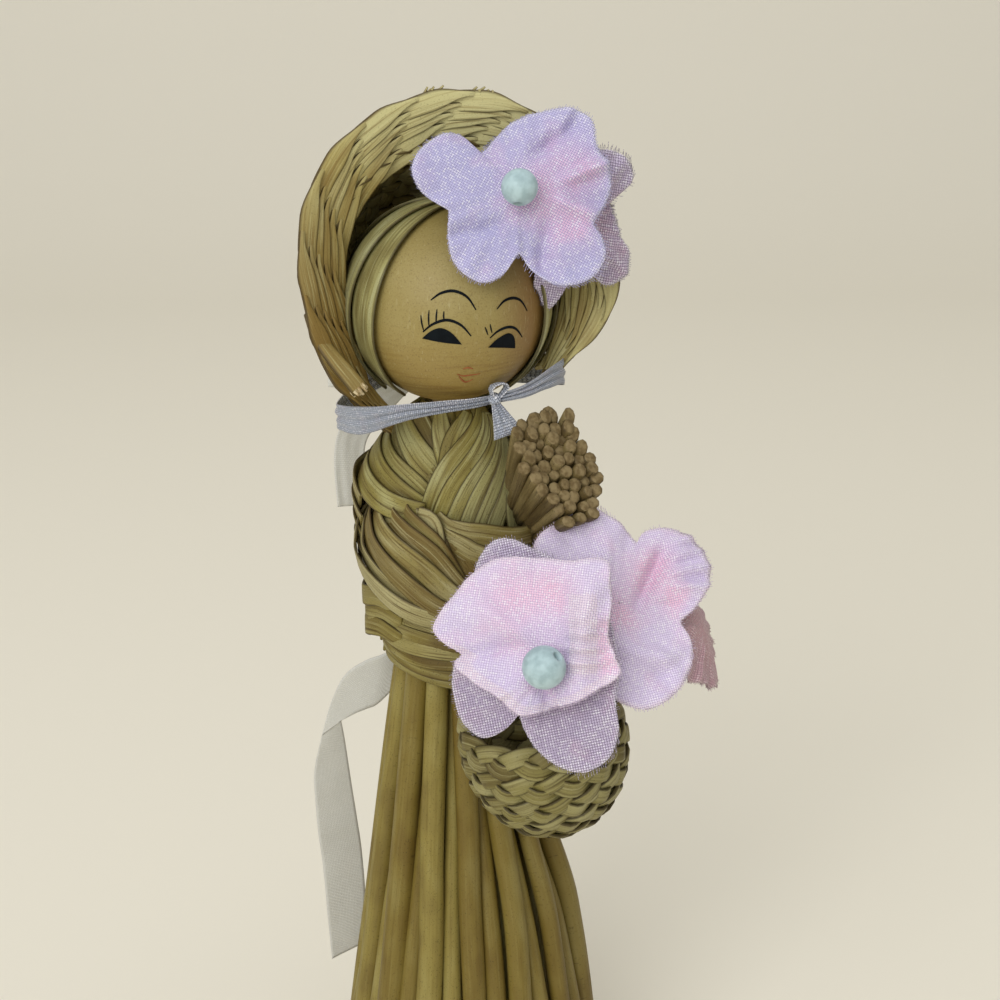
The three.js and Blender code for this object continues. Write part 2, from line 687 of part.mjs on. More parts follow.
// Sash: a knot behind the waist band, one long tail that stands off to the right and a short one.
const waistReach = waistOuter + clearance + ribbonThickness;
const sashKnotPlace = point(0, waistReach + knotSize / 2, skirtHeight - sashDrop);
add(doll, "sash_knot", knotShape(knotSize).translate(...sashKnotPlace.toArray()), paleRibbon);
const sashWidth = (s) => lerp(0.3, 1, Math.min(1, 6 * s));
const sashStart = (side) => sashKnotPlace.clone().add(point(side * (knotSize / 2 + 2 * clearance), 0, 0));
const fallen = (share) => sashKnotPlace.z - share * sashFall;
const sashLong = [
  sashStart(-1),
  point(-waistReach * 0.75, waistReach * 0.82, fallen(0.012)),
  point(-sashSpread * 0.52, sashBehind * 0.85, fallen(0.074)),
  point(-sashSpread * 0.8, sashBehind * 0.9, fallen(0.136)),
  point(-sashSpread * 0.97, sashBehind * 0.95, fallen(0.247)),
  point(-sashSpread, sashBehind, fallen(0.37)),
  point(-sashSpread * 0.97, sashBehind, fallen(0.585)),
  point(-sashSpread * 0.92, sashBehind, fallen(1)),
];
const sashLongWide = [
  [0, 1],
  [-0.2, 1],
  [-0.6, 0.8],
  [-0.7, 0.7],
  [-0.95, 0.3],
  [-1, 0],
  [-1, 0],
  [-1, 0],
].map(([x, z]) => point(x, 0, z));
add(doll, "sash_tail_right", ribbon(sashLong, sashLongWide, 14, sashWidth), paleRibbon);
const sashShortEnd = sashKnotPlace.z - sashShortLength;
const sashShortMiddle = sashKnotPlace.z - sashShortLength / 2;
const behindSkirt = (z) => skirtRadius(z) + rushDiameter(z) + ribbonThickness;
const sashShort = [
  sashStart(1),
  point(knotSize * 1.6, waistReach + knotSize / 2, sashKnotPlace.z - ribbonWidth * 0.6),
  point(knotSize * 1.9, behindSkirt(sashShortMiddle) + ribbonEase, sashShortMiddle),
  point(knotSize * 2, behindSkirt(sashShortEnd) + ribbonEase, sashShortEnd),
];
const sashShortWide = [point(0, 0, 1), point(0.7, 0, 0.7), point(1, 0, 0), point(1, 0, 0)];
add(doll, "sash_tail_left", ribbon(sashShort, sashShortWide, 8, sashWidth), paleRibbon);

// Basket: a bowl with a ridge for each plaited row, set against the skirt.
const bowlArc = (t, radius, depth) => {
  const a = (Math.PI / 2) * t;
  return [radius * Math.sin(a), -depth * Math.cos(a)];
};
function basketBowl() {
  const steps = 2 * basketRows;
  const outer = [];
  const inner = [];
  for (let i = 0; i <= steps; i++) {
    const ridge = i % 2 ? basketRidge : 0;
    outer.push(bowlArc(i / steps, basketRadius - basketRidge + ridge, basketDepth - basketRidge + ridge));
    inner.unshift(bowlArc(i / steps, basketRadius - basketWall, basketDepth - basketWall));
  }
  return turned([...outer, ...inner], 20);
}
const basketOut = point(Math.sin(rad(basketTurn)), -Math.cos(rad(basketTurn)), 0);
const basketReach = Array.from({ length: 20 }, (_, i) => {
  const [r, z] = bowlArc(i / 19, basketRadius, basketDepth);
  const height = basketRimHeight + z;
  return r + skirtRadius(height) + rushDiameter(height) / 2;
}).reduce((a, b) => Math.max(a, b));
const basket = new THREE.Group();
basket.position.copy(basketOut).multiplyScalar(basketReach + 2 * clearance).setZ(basketRimHeight);
basket.rotation.z = rad(basketTurn);
doll.add(basket);
const bowl = add(basket, "basket", basketBowl(), paleRush);
bowl.rotation.y = -rad(basketRoll);

// A cloth blossom about +Z: a cupped sheet with notches between its petals and a hole for its wire.
function blossom({ radius, cup, wave = 0.08, phase = 0 }) {
  const hole = flowerStemDiameter / 2 + clearance;
  const stops = [0, 0.4, 0.75, 1];
  const rows = stops.map((t) => [t, 1]);
  const section = [...rows, ...stops.map((t) => [t, 0]).reverse()];
  return sweep(
    petalCount * 5,
    section,
    (s, t, side) => {
      const turn = 2 * Math.PI * s;
      const petal = Math.abs(Math.sin((petalCount * turn) / 2));
      const edge = radius * (1 - petalNotch + petalNotch * Math.pow(petal, 0.7));
      const r = lerp(hole, edge, t);
      const lift = cup * radius * t * t + wave * radius * t * t * Math.sin(petalCount * turn + 1);
      return point(r * Math.cos(turn + phase), r * Math.sin(turn + phase), lift + side * petalThickness);
    },
    true,
  );
}

// Faces +Z along a direction and puts the base at a place.
function aim(mesh, place, direction) {
  mesh.position.copy(place);
  mesh.quaternion.setFromUnitVectors(upright, direction.clone().normalize());
}
const beadShape = (diameter) => tidy(new THREE.SphereGeometry(diameter / 2, 14, 10));

// Flowers: each blossom sits on its wire, and a bead closes the one in front.
function flower(group, name, { root, leave, place, direction, layers, bead, finish }) {
  const along = direction.clone().normalize();
  const lastRise = layers[layers.length - 1].rise;
  const top = place.clone().addScaledVector(along, lastRise + petalThickness + clearance);
  const behind = place.clone().addScaledVector(along, -petalThickness);
  const arrive = place.clone().addScaledVector(along, -wireBend);
  const bend = new THREE.CubicBezierCurve3(root, root.clone().add(leave), arrive, behind);
  const wide = along.clone().cross(upright).normalize();
  const middle = [...bend.getPoints(7), top];
  const rings = middle.map((p, i) => {
    const t = i + 1 < middle.length - 1 ? bend.getTangent(i / 7) : along;
    const up = t.clone().cross(wide).normalize();
    const r = flowerStemDiameter / 2;
    const onRing = ([u, v]) => p.clone().addScaledVector(wide, u * r).addScaledVector(up, v * r);
    return roundSection(6).map(onRing);
  });
  add(group, `${name}_wire`, loft(rings), rush);
  for (const layer of layers) {
    const mesh = add(group, layer.name, blossom(layer), layer.finish ?? finish);
    aim(mesh, place.clone().addScaledVector(along, layer.rise), along);
  }
  if (bead) {
    const centre = top.clone().addScaledVector(along, bead.diameter / 2 + clearance);
    add(group, bead.name, beadShape(bead.diameter).translate(...centre.toArray()), mintBead);
  }
}

// Bonnet flower: two blossoms on the front of the brim.
const brimFront = -plaitThickness / 2 - clearance - flowerStemDiameter / 2;
const offBrim = point(0, -wireBend / 2, 0);
const brimTurn = (length) => THREE.MathUtils.radToDeg(length / brimMeanRadius);
const bonnetFrontRoot = brimPoint(brimTurn(bonnetFlowerSide), 0, brimFront);
flower(head, "bonnet_front", {
  root: bonnetFrontRoot,
  leave: offBrim,
  place: bonnetFrontRoot.clone().addScaledVector(point(0.12, -0.53, -0.41), bonnetBlossomRadius),
  direction: point(-0.2, -0.93, 0.3),
  layers: [
    { name: "bonnet_blossom_front", radius: bonnetBlossomRadius, cup: 0.12, phase: rad(-11), rise: 0 },
  ],
  bead: { name: "bonnet_bead", diameter: bonnetBeadDiameter },
  finish: pinkCloth,
});
const bonnetRearRoot = brimPoint(brimTurn(bonnetFlowerSide + bonnetFlowerSpacing), 0, brimFront);
flower(head, "bonnet_rear", {
  root: bonnetRearRoot,
  leave: offBrim,
  place: bonnetRearRoot.clone().addScaledVector(point(0.17, -0.46, -0.33), bonnetRearRadius),
  direction: point(0, -0.99, -0.1),
  layers: [
    { name: "bonnet_blossom_rear", radius: bonnetRearRadius, cup: 0.08, phase: rad(-30), rise: 0 },
  ],
  finish: lilacCloth,
});

// Basket flowers: three blossoms whose wires stand on the basket's floor.
const floorHeight = basketRimHeight - basketDepth + basketWall + 2 * clearance;
const basketFloor = basket.position.clone().setZ(floorHeight);
const outOfBasket = point(0, 0, basketDepth + wireBend);
const fromRim = (x, y, z) => basket.position.clone().addScaledVector(point(x, y, z), basketRadius);
const onFloor = (x, y, z) => basketFloor.clone().addScaledVector(point(x, y, z), basketRadius);
const lowerLayer = {
  name: "basket_blossom_lower",
  radius: basketBlossomRadius,
  cup: 0.055,
  phase: rad(-20),
  rise: 0,
  finish: lilacCloth,
};
const upperLayer = {
  name: "basket_blossom_upper",
  radius: basketBlossomRadius * 0.85,
  cup: 0.2,
  phase: rad(16),
  rise: layerRise,
};
flower(doll, "basket_front", {
  root: onFloor(0, 0, 0),
  leave: outOfBasket,
  place: fromRim(0.03, -0.65, 1.23),
  direction: point(-0.12, -0.9, 0.4),
  layers: [lowerLayer, upperLayer],
  bead: { name: "basket_bead", diameter: basketBeadDiameter },
  finish: pinkCloth,
});
flower(doll, "basket_side", {
  root: onFloor(0.19, 0.06, 0.04),
  leave: outOfBasket,
  place: fromRim(0.84, 0.13, 1.61),
  direction: point(0.15, -0.8, 0.55),
  layers: [{ name: "basket_blossom_side", radius: basketSideRadius, cup: 0.13, phase: 0, rise: 0 }],
  finish: pinkCloth,
});
flower(doll, "basket_rear", {
  root: onFloor(0.1, 0.23, 0.065),
  leave: outOfBasket,
  place: fromRim(1.81, 0.58, 1.1),
  direction: point(0.85, -0.3, 0.45),
  layers: [{ name: "basket_blossom_rear", radius: basketRearRadius, cup: 0.19, phase: 0, rise: 0 }],
  finish: lilacCloth,
});

export default doll;
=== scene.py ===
import math
import random
import bpy
import bmesh
from mathutils import Matrix, Vector, noise


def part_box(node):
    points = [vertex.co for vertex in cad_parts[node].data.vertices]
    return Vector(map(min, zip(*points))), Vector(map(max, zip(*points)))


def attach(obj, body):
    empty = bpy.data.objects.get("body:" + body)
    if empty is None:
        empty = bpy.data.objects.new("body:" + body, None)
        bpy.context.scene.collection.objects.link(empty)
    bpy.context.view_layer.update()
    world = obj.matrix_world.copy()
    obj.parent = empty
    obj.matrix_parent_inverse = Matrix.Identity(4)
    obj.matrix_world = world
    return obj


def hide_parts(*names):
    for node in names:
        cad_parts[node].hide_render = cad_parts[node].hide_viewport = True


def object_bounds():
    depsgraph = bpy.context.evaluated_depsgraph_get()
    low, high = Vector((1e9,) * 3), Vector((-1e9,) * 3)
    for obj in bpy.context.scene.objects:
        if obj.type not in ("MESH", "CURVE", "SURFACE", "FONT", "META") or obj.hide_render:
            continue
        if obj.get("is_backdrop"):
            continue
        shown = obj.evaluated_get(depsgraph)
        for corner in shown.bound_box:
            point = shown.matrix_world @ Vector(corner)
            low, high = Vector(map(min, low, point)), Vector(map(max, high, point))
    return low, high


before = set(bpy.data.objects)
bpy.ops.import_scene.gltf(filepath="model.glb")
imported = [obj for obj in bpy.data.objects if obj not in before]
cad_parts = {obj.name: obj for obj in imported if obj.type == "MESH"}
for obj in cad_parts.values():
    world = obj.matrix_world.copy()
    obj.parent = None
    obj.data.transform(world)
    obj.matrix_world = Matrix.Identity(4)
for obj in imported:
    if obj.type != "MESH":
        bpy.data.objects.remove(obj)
cadLow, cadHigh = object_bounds()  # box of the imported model
scene = bpy.context.scene
scene.view_settings.view_transform = "Standard"
mm = 0.001
dice = random.Random(11)
print("frame loaded,", len(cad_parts), "nodes")

# camera at the photograph's angle, millimetres and degrees
view = {"place": (8.62, -263.01, 235.31), "pitch": 19.0, "roll": -0.7, "lens": 54.0, "sensor": 36.0}
camData = bpy.data.cameras.new("photoView")
camData.lens = view["lens"]
camData.sensor_width = view["sensor"]
camData.clip_start = 0.01
camera = bpy.data.objects.new("photoView", camData)
scene.collection.objects.link(camera)
camera.matrix_world = (
    Matrix.Translation(Vector(view["place"]) * mm)
    @ Matrix.Rotation(math.radians(90 - view["pitch"]), 4, "X")
    @ Matrix.Rotation(math.radians(view["roll"]), 4, "Z")
)
scene.camera = camera

# sizes shared with the solids, millimetres and degrees
doll = {
    "skirtHeight": 118.5, "skirtBase": 27.2, "skirtWaist": 10.2,
    "torsoHeight": 45.5, "chestHeight": 28.0, "chest": 12.0, "neck": 5.5, "depth": 0.8, "waist": 8.6,
    "ball": 17.5, "ballHeight": 182.0, "headTurn": 15.8, "waistOut": 13.5,
}
headPlace = Matrix.Translation((0, 0, doll["ballHeight"])) @ Matrix.Rotation(math.radians(doll["headTurn"]), 4, "Z")


def tone(red, green, blue):  # a screen colour as Blender wants it
    def linear(level):
        level = level / 255
        return level / 12.92 if level <= 0.04045 else ((level + 0.055) / 1.055) ** 2.4
    return (linear(red), linear(green), linear(blue), 1.0)


def blend(a, b, share):
    return a + (b - a) * share


def ease(share):
    share = min(max(share, 0.0), 1.0)
    return share * share * (3 - 2 * share)


def rising(value, span):  # 0 to 1 from where the span starts, over its length
    return ease((value - span[0]) / span[1])


def shares(count):
    return [k / count for k in range(count + 1)]


def through(points, share):  # smooth curve through points of any width
    last = len(points) - 1
    spot = min(max(share, 0.0), 1.0) * last
    i = min(int(spot), last - 1)
    t = spot - i
    rows = zip(points[max(i - 1, 0)], points[i], points[i + 1], points[min(i + 2, last)])
    return [
        0.5 * (2 * b + (c - a) * t + (2 * a - 5 * b + 4 * c - d) * t * t + (3 * b - a - 3 * c + d) * t ** 3)
        for a, b, c, d in rows
    ]


# shader nodes
def put(tree, kind, sockets=None, **settings):
    made = tree.nodes.new("ShaderNode" + kind)
    for name, value in settings.items():
        setattr(made, name, value)
    for key, value in (sockets or {}).items():
        if isinstance(value, bpy.types.NodeSocket):
            tree.links.new(value, made.inputs[key])
        else:
            made.inputs[key].default_value = value
    return made


def calc(tree, work, a, b=0.0, clamp=False):
    return put(tree, "Math", {0: a, 1: b}, operation=work, use_clamp=clamp).outputs[0]


def spread(tree, value, low, high, to=(0.0, 1.0)):
    sockets = {"Value": value, "From Min": low, "From Max": high, "To Min": to[0], "To Max": to[1]}
    return put(tree, "MapRange", sockets).outputs[0]


def mixed(tree, share, a, b):
    return put(tree, "Mix", {0: share, 6: a, 7: b}, data_type="RGBA").outputs[2]


def newGroup(name, inputs, outputs):
    group = bpy.data.node_groups.new(name, "ShaderNodeTree")
    for label, kind in inputs:
        group.interface.new_socket(name=label, in_out="INPUT", socket_type="NodeSocket" + kind)
    for label, kind in outputs:
        group.interface.new_socket(name=label, in_out="OUTPUT", socket_type="NodeSocket" + kind)
    return group, group.nodes.new("NodeGroupInput").outputs, group.nodes.new("NodeGroupOutput").inputs


def washed(tree, colour, mask, amount, toward):  # some way to another colour where the mask says so
    return mixed(tree, calc(tree, "MULTIPLY", mask, amount), colour, toward)


def noisy(tree, vector, scale, detail, rough=0.5):
    sockets = {"Vector": vector, "Scale": scale, "Detail": detail, "Roughness": rough}
    return put(tree, "TexNoise", sockets).outputs["Fac"]


def marked(tree, name):  # a value laid on the mesh
    return put(tree, "Attribute", attribute_name=name).outputs["Fac"]


def makeRushGrain():  # streaks along a stem, blotches, dark specks, painted shade at the strips' edges, and painted light and shade laid on the mesh
    colours = [(name, "Color") for name in ("Base", "Shade", "Light")]
    amounts = [(name, "Float") for name in ("Streaks", "Specks", "Edge", "Rim")]
    outs = [("Colour", "Color"), ("Rough", "Float"), ("Height", "Float")]
    group, enter, leave = newGroup("rushGrain", colours + amounts, outs)
    lay = put(group, "SeparateXYZ", {0: put(group, "UVMap").outputs[0]}).outputs
    tint = marked(group, "tint")
    paintedLight = marked(group, "blush")  # painted light above 0, painted shade below

    def grain(wide, long, shift, size, detail):
        place = put(group, "CombineXYZ", {
            0: calc(group, "MULTIPLY", lay[0], wide),
            1: calc(group, "MULTIPLY", lay[1], long),
            2: calc(group, "MULTIPLY", tint, shift),
        }).outputs[0]
        return noisy(group, place, size, detail, 0.62)

    streak = grain(1.0, 0.025, 41.0, 2.3, 5.0)
    broad = grain(0.2, 0.06, 93.0, 1.0, 2.0)
    speck = grain(1.0, 0.6, 17.0, 5.0, 1.0)
    rim = calc(group, "ABSOLUTE", marked(group, "across"))
    shade, light, streaks = enter["Shade"], enter["Light"], enter["Streaks"]
    dark = mixed(group, 0.75, shade, tone(34, 24, 8))
    colour = enter["Base"]
    for value, low, high, amount, toward in (  # where it begins, where it is full, how much, to which colour
        (broad, 0.5, 0.66, 0.9, light), (broad, 0.48, 0.34, 0.7, shade),
        (tint, 0.55, 1.0, 0.6, shade), (tint, 0.4, 0.0, 0.6, light),
        # painted light and painted shade carried in the blush attribute
        (paintedLight, 0.0, 1.0, 1.0, light), (paintedLight, 0.0, -1.0, 1.0, shade),
        (streak, 0.5, 0.64, streaks, shade), (streak, 0.45, 0.34, streaks, light), (streak, 0.62, 0.7, streaks, dark),
        # the specks are the rush's own; the dark edge mix is painted shade between strips
        (speck, 0.63, 0.7, enter["Specks"], dark), (rim, enter["Rim"], 0.98, enter["Edge"], dark),
    ):
        colour = washed(group, colour, spread(group, value, low, high), amount, toward)
    group.links.new(colour, leave["Colour"])
    group.links.new(spread(group, streak, 0.3, 0.7, (0.4, 0.66)), leave["Rough"])
    group.links.new(streak, leave["Height"])
    return group


def makeWeave():  # plain weave on the cloth's own flat coordinates, each crossing a little different, with painted glints on some crossings
    outs = [("Thread", "Float"), ("PaintedGlint", "Float"), ("Height", "Float")]
    group, enter, leave = newGroup("plainWeave", [("Pitch", "Float"), ("Fuzz", "Float")], outs)
    flat = put(group, "UVMap").outputs[0]
    lay = put(group, "SeparateXYZ", {0: flat}).outputs
    counts = [calc(group, "DIVIDE", lay[i], enter["Pitch"]) for i in (0, 1)]
    waves = [calc(group, "SINE", calc(group, "MULTIPLY", count, math.pi)) for count in counts]
    over = calc(group, "GREATER_THAN", calc(group, "MULTIPLY", waves[0], waves[1]), 0.0)
    warp = calc(group, "MULTIPLY", calc(group, "ABSOLUTE", waves[0]), over)
    weft = calc(group, "MULTIPLY", calc(group, "ABSOLUTE", waves[1]), calc(group, "SUBTRACT", 1.0, over))
    height = calc(group, "ADD", warp, weft)
    hair = noisy(group, flat, 3.0, 3.0)
    fuzz = calc(group, "MULTIPLY", calc(group, "SUBTRACT", hair, 0.5), enter["Fuzz"])
    cell = put(group, "CombineXYZ", {i: calc(group, "FLOOR", counts[i]) for i in (0, 1)}).outputs[0]
    chance = put(group, "TexWhiteNoise", {"Vector": cell}, noise_dimensions="2D").outputs["Value"]
    # painted glint on random raised crossings
    lit = calc(group, "MULTIPLY", spread(group, chance, 0.55, 0.95), spread(group, height, 0.55, 0.95))
    group.links.new(calc(group, "ADD", height, fuzz, True), leave["Thread"])
    group.links.new(lit, leave["PaintedGlint"])
    group.links.new(height, leave["Height"])
    return group


rushGrain = makeRushGrain()
plainWeave = makeWeave()


def startMaterial(name):
    made = bpy.data.materials.new(name)
    made.use_nodes = True
    tree = made.node_tree
    return made, tree, tree.nodes["Principled BSDF"].inputs


def bumped(tree, shader, height, strength, distance):
    sockets = {"Height": height, "Strength": strength, "Distance": distance}
    tree.links.new(put(tree, "Bump", sockets).outputs[0], shader["Normal"])


def rushMaterial(name, base, shade, light, streaks, specks, edge, rim=0.85, bump=0.5):
    made, tree, shader = startMaterial(name)
    grain = put(tree, "Group", node_tree=rushGrain)
    for key, value in (("Base", tone(*base)), ("Shade", tone(*shade)), ("Light", tone(*light)),
                       ("Streaks", streaks), ("Specks", specks), ("Edge", edge), ("Rim", rim)):
        grain.inputs[key].default_value = value
    tree.links.new(grain.outputs["Colour"], shader["Base Color"])
    tree.links.new(grain.outputs["Rough"], shader["Roughness"])
    shader["Specular IOR Level"].default_value = 0.3
    bumped(tree, shader, grain.outputs["Height"], bump, 0.0003)
    return made


# the edge amount sets how much painted shade darkens the strips' edges
roundRush = rushMaterial("roundRush", (134, 118, 54), (102, 82, 30), (150, 138, 78), 0.2, 0.45, 0.0, bump=0.2)
flatRush = rushMaterial("flatRush", (138, 127, 64), (88, 70, 28), (172, 168, 116), 0.65, 0.55, 0.9)
armRush = rushMaterial("armRush", (142, 129, 74), (98, 76, 32), (176, 168, 122), 0.65, 0.55, 0.9)
plaitRush = rushMaterial("plaitRush", (186, 173, 110), (138, 113, 58), (208, 202, 148), 0.5, 0.3, 1.0, 0.72)
hairRush = rushMaterial("hairRush", (162, 156, 102), (112, 100, 56), (188, 188, 144), 0.65, 0.5, 0.9)
waistRush = rushMaterial("waistRush", (128, 115, 54), (88, 69, 27), (160, 151, 98), 0.65, 0.55, 0.9)
basketRush = rushMaterial("basketRush", (130, 121, 68), (84, 70, 32), (160, 153, 106), 0.6, 0.35, 0.9, 0.78)
cutRush = rushMaterial("cutRush", (114, 98, 58), (68, 53, 28), (140, 124, 84), 0.5, 0.7, 0.0)


def clothMaterial(name, plain, blush, rim, gap, shine, pitch, bump):
    made, tree, shader = startMaterial(name)
    weave = put(tree, "Group", {"Pitch": pitch, "Fuzz": 0.5}, node_tree=plainWeave).outputs
    cloud = noisy(tree, put(tree, "UVMap").outputs[0], 0.14, 2.0)
    mottle = calc(tree, "MULTIPLY", spread(tree, cloud, 0.5, 0.75), 0.6)
    warm = calc(tree, "ADD", marked(tree, "blush"), mottle, True)
    colour = mixed(tree, warm, tone(*plain), tone(*blush))
    colour = mixed(tree, spread(tree, marked(tree, "reach"), 0.94, 1.0), colour, tone(*rim))
    # painted shade in the gaps between threads
    colour = mixed(tree, spread(tree, weave["Thread"], 0.8, 0.3, (0.0, 0.8)), colour, tone(*gap))
    # painted highlights on the thread crossings
    colour = washed(tree, colour, weave["PaintedGlint"], 0.75, tone(*shine))
    tree.links.new(colour, shader["Base Color"])
    tree.links.new(spread(tree, weave["Thread"], 0.2, 1.0, (0.8, 0.46)), shader["Roughness"])
    shader["Sheen Weight"].default_value = 0.2
    shader["Specular IOR Level"].default_value = 0.45
    bumped(tree, shader, weave["Height"], bump, 0.00016)
    return made


# colours: plain, blush, rim, painted shade between threads, painted glint; then thread pitch and bump
lavenderCloth = clothMaterial(
    "lavenderCloth", (196, 192, 230), (228, 192, 222), (220, 216, 242), (142, 136, 188), (244, 242, 252), 0.4, 0.7)
pinkCloth = clothMaterial(
    "pinkCloth", (230, 218, 244), (246, 204, 226), (240, 224, 234), (184, 162, 202), (252, 248, 254), 0.4, 0.6)
lilacCloth = clothMaterial(
    "lilacCloth", (202, 188, 214), (218, 180, 202), (226, 216, 232), (96, 78, 112), (246, 242, 250), 0.43, 0.8)
roseCloth = clothMaterial(
    "roseCloth", (196, 160, 168), (204, 158, 164), (214, 190, 194), (146, 108, 118), (230, 208, 212), 0.4, 0.7)
ribbonCloth = clothMaterial(
    "ribbonCloth", (184, 191, 205), (206, 194, 208), (212, 214, 224), (70, 74, 88), (246, 246, 250), 0.42, 0.9)
sashCloth = clothMaterial(
    "sashCloth", (214, 214, 206), (216, 214, 206), (220, 218, 210), (196, 194, 184), (228, 228, 222), 0.28, 0.3)


def ballMaterial():
    made, tree, shader = startMaterial("tintedWood")
    where = put(tree, "TexCoord").outputs["Object"]
    local = put(tree, "Mapping", {"Vector": where, "Location": (0, 0, -doll["ballHeight"] * mm)}).outputs[0]
    stretched = put(tree, "Mapping", {"Vector": local, "Scale": (1, 1, 0.18)}).outputs[0]
    rings = put(tree, "Mapping", {"Vector": local, "Scale": (0.06, 0.06, 1)}).outputs[0]
    axes = put(tree, "SeparateXYZ", {0: local}).outputs
    cloud = noisy(tree, local, 90.0, 3.0)
    fibre = noisy(tree, stretched, 2600.0, 2.0)
    dust = noisy(tree, local, 3600.0, 1.0)
    spot = noisy(tree, local, 2600.0, 0.0)
    turned = noisy(tree, rings, 1900.0, 2.0)
    # painted shade masks: low towards the bottom, which also places the lathe lines, and left towards the doll's left
    low = spread(tree, axes[2], 0.0, -0.014)
    left = spread(tree, axes[0], 0.008, 0.014)
    lines = calc(tree, "MULTIPLY", spread(tree, turned, 0.5, 0.62), calc(tree, "MULTIPLY", low, 0.5))
    colour = mixed(tree, spread(tree, cloud, 0.35, 0.65), tone(151, 134, 75), tone(159, 144, 89))
    for mask, amount, toward in (  # painted shade, browner below and at the doll's left, then grain, dust and lathe lines
        (low, 1.0, (154, 128, 64)), (left, 1.0, (134, 102, 50)),
        (spread(tree, fibre, 0.6, 0.78), 0.5, (180, 168, 122)), (spread(tree, dust, 0.5, 0.75), 0.45, (120, 96, 44)),
        (spread(tree, spot, 0.72, 0.8), 0.35, (96, 74, 36)), (lines, 1.0, (122, 90, 42)),
    ):
        colour = washed(tree, colour, mask, amount, tone(*toward))
    tree.links.new(colour, shader["Base Color"])
    tree.links.new(spread(tree, cloud, 0.3, 0.7, (0.48, 0.62)), shader["Roughness"])
    bumped(tree, shader, calc(tree, "ADD", dust, lines), 0.1, 0.0002)
    return made


def speckled(name, base, spot, size, rough, bump, shine=0.4):
    made, tree, shader = startMaterial(name)
    where = put(tree, "TexCoord").outputs["Object"]
    cloud = noisy(tree, where, size, 4.0)
    grit = noisy(tree, where, size * 5, 2.0)
    colour = mixed(tree, spread(tree, cloud, 0.4, 0.62), tone(*base), tone(*spot))
    colour = washed(tree, colour, spread(tree, grit, 0.6, 0.75), 0.35, tone(*base))
    tree.links.new(colour, shader["Base Color"])
    tree.links.new(spread(tree, cloud, 0.3, 0.7, (rough - 0.1, rough + 0.1)), shader["Roughness"])
    shader["Specular IOR Level"].default_value = shine
    bumped(tree, shader, grit, bump, 0.0002)
    return made


tintedWood = ballMaterial()
bareWood = speckled("bareWood", (206, 178, 132), (184, 152, 104), 90.0, 0.7, 0.3)
mintBead = speckled("mintBead", (180, 204, 208), (158, 182, 186), 520.0, 0.55, 0.25)
wireWrap = speckled("wireWrap", (120, 122, 70), (96, 98, 54), 700.0, 0.7, 0.4)
inkPaint = speckled("inkPaint", (12, 16, 20), (20, 25, 29), 500.0, 0.8, 0.1, 0.1)
pithRush = speckled("pithRush", (140, 122, 84), (106, 88, 54), 900.0, 0.8, 0.5)
fibreRush = speckled("fibreRush", (212, 196, 156), (168, 142, 96), 1100.0, 0.8, 0.7)
lipPaint = speckled("lipPaint", (150, 84, 46), (162, 104, 60), 900.0, 0.7, 0.1)
print("materials ready,", len(bpy.data.materials))


# mesh helpers, all in millimetres
def newMesh():
    mesh = bmesh.new()
    mesh.loops.layers.uv.new("UVMap")
    for name in ("tint", "across", "reach", "blush"):
        mesh.verts.layers.float.new(name)
    return mesh


def shapeGrid(mesh, wide, long, place, marks):
    # a flat grid whose corners go where place(u, s) says; place also gives the flat coordinates
    verts = bmesh.ops.create_grid(mesh, x_segments=wide, y_segments=long, size=0.5)["verts"]
    layers = {name: mesh.verts.layers.float[name] for name in marks}
    flat = {}
    for vert in verts:
        u, s = vert.co.x + 0.5, vert.co.y + 0.5
        vert.co, flat[vert] = place(u, s)
        for name, mark in marks.items():
            vert[layers[name]] = mark(u, s) if callable(mark) else mark
    uv = mesh.loops.layers.uv["UVMap"]
    for face in {face for vert in verts for face in vert.link_faces}:
        face.smooth = True
        for loop in face.loops:
            loop[uv].uv = flat[loop.vert]
    return verts


def along(value, share):
    return value(share) if callable(value) else value


def ringPoint(turn, reach, height, deep=None):  # round the doll's axis, from the front
    return Vector((reach * math.sin(turn), -(reach if deep is None else deep) * math.cos(turn), height))


def straight(low, high, count):
    return [low.lerp(high, share) for share in shares(count)]


def smoothed(mesh):
    for patch in mesh.faces:
        patch.smooth = True


def stem(mesh, path, faces, width, thick, tint, sides=10, flat=0.0, lean=0.0, paintedLight=0.0):
    # a rush along path: flat 0 is round and 1 a pressed strip, lean lifts one edge
    last = len(path) - 1
    bend = blend(1.0, 0.45, flat)
    frames = []
    run = [0.0]
    for i, spot in enumerate(path):
        ahead = (path[min(i + 1, last)] - path[max(i - 1, 0)]).normalized()
        face = (faces[i] - ahead * faces[i].dot(ahead)).normalized()
        wide = ahead.cross(face)
        c, s = math.cos(lean), math.sin(lean)
        frames.append((spot, wide * c + face * s, face * c - wide * s))
        if i:
            run.append(run[-1] + (spot - path[i - 1]).length)

    def section(u):
        x, y = math.cos(2 * math.pi * u), math.sin(2 * math.pi * u)
        return math.copysign(abs(x) ** bend, x), math.copysign(abs(y) ** bend, y)

    def place(u, s):
        row = round(s * last)
        spot, wide, face = frames[row]
        x, y = section(u)
        half = along(width, s) / 2
        return spot + wide * (x * half) + face * (y * along(thick, s) / 2), (x * half, run[row])

    # on rush meshes the blush attribute carries painted light and painted shade
    marks = {"tint": tint, "across": lambda u, s: section(u)[0], "blush": lambda u, s: along(paintedLight, s)}
    return shapeGrid(mesh, sides, last, place, marks)


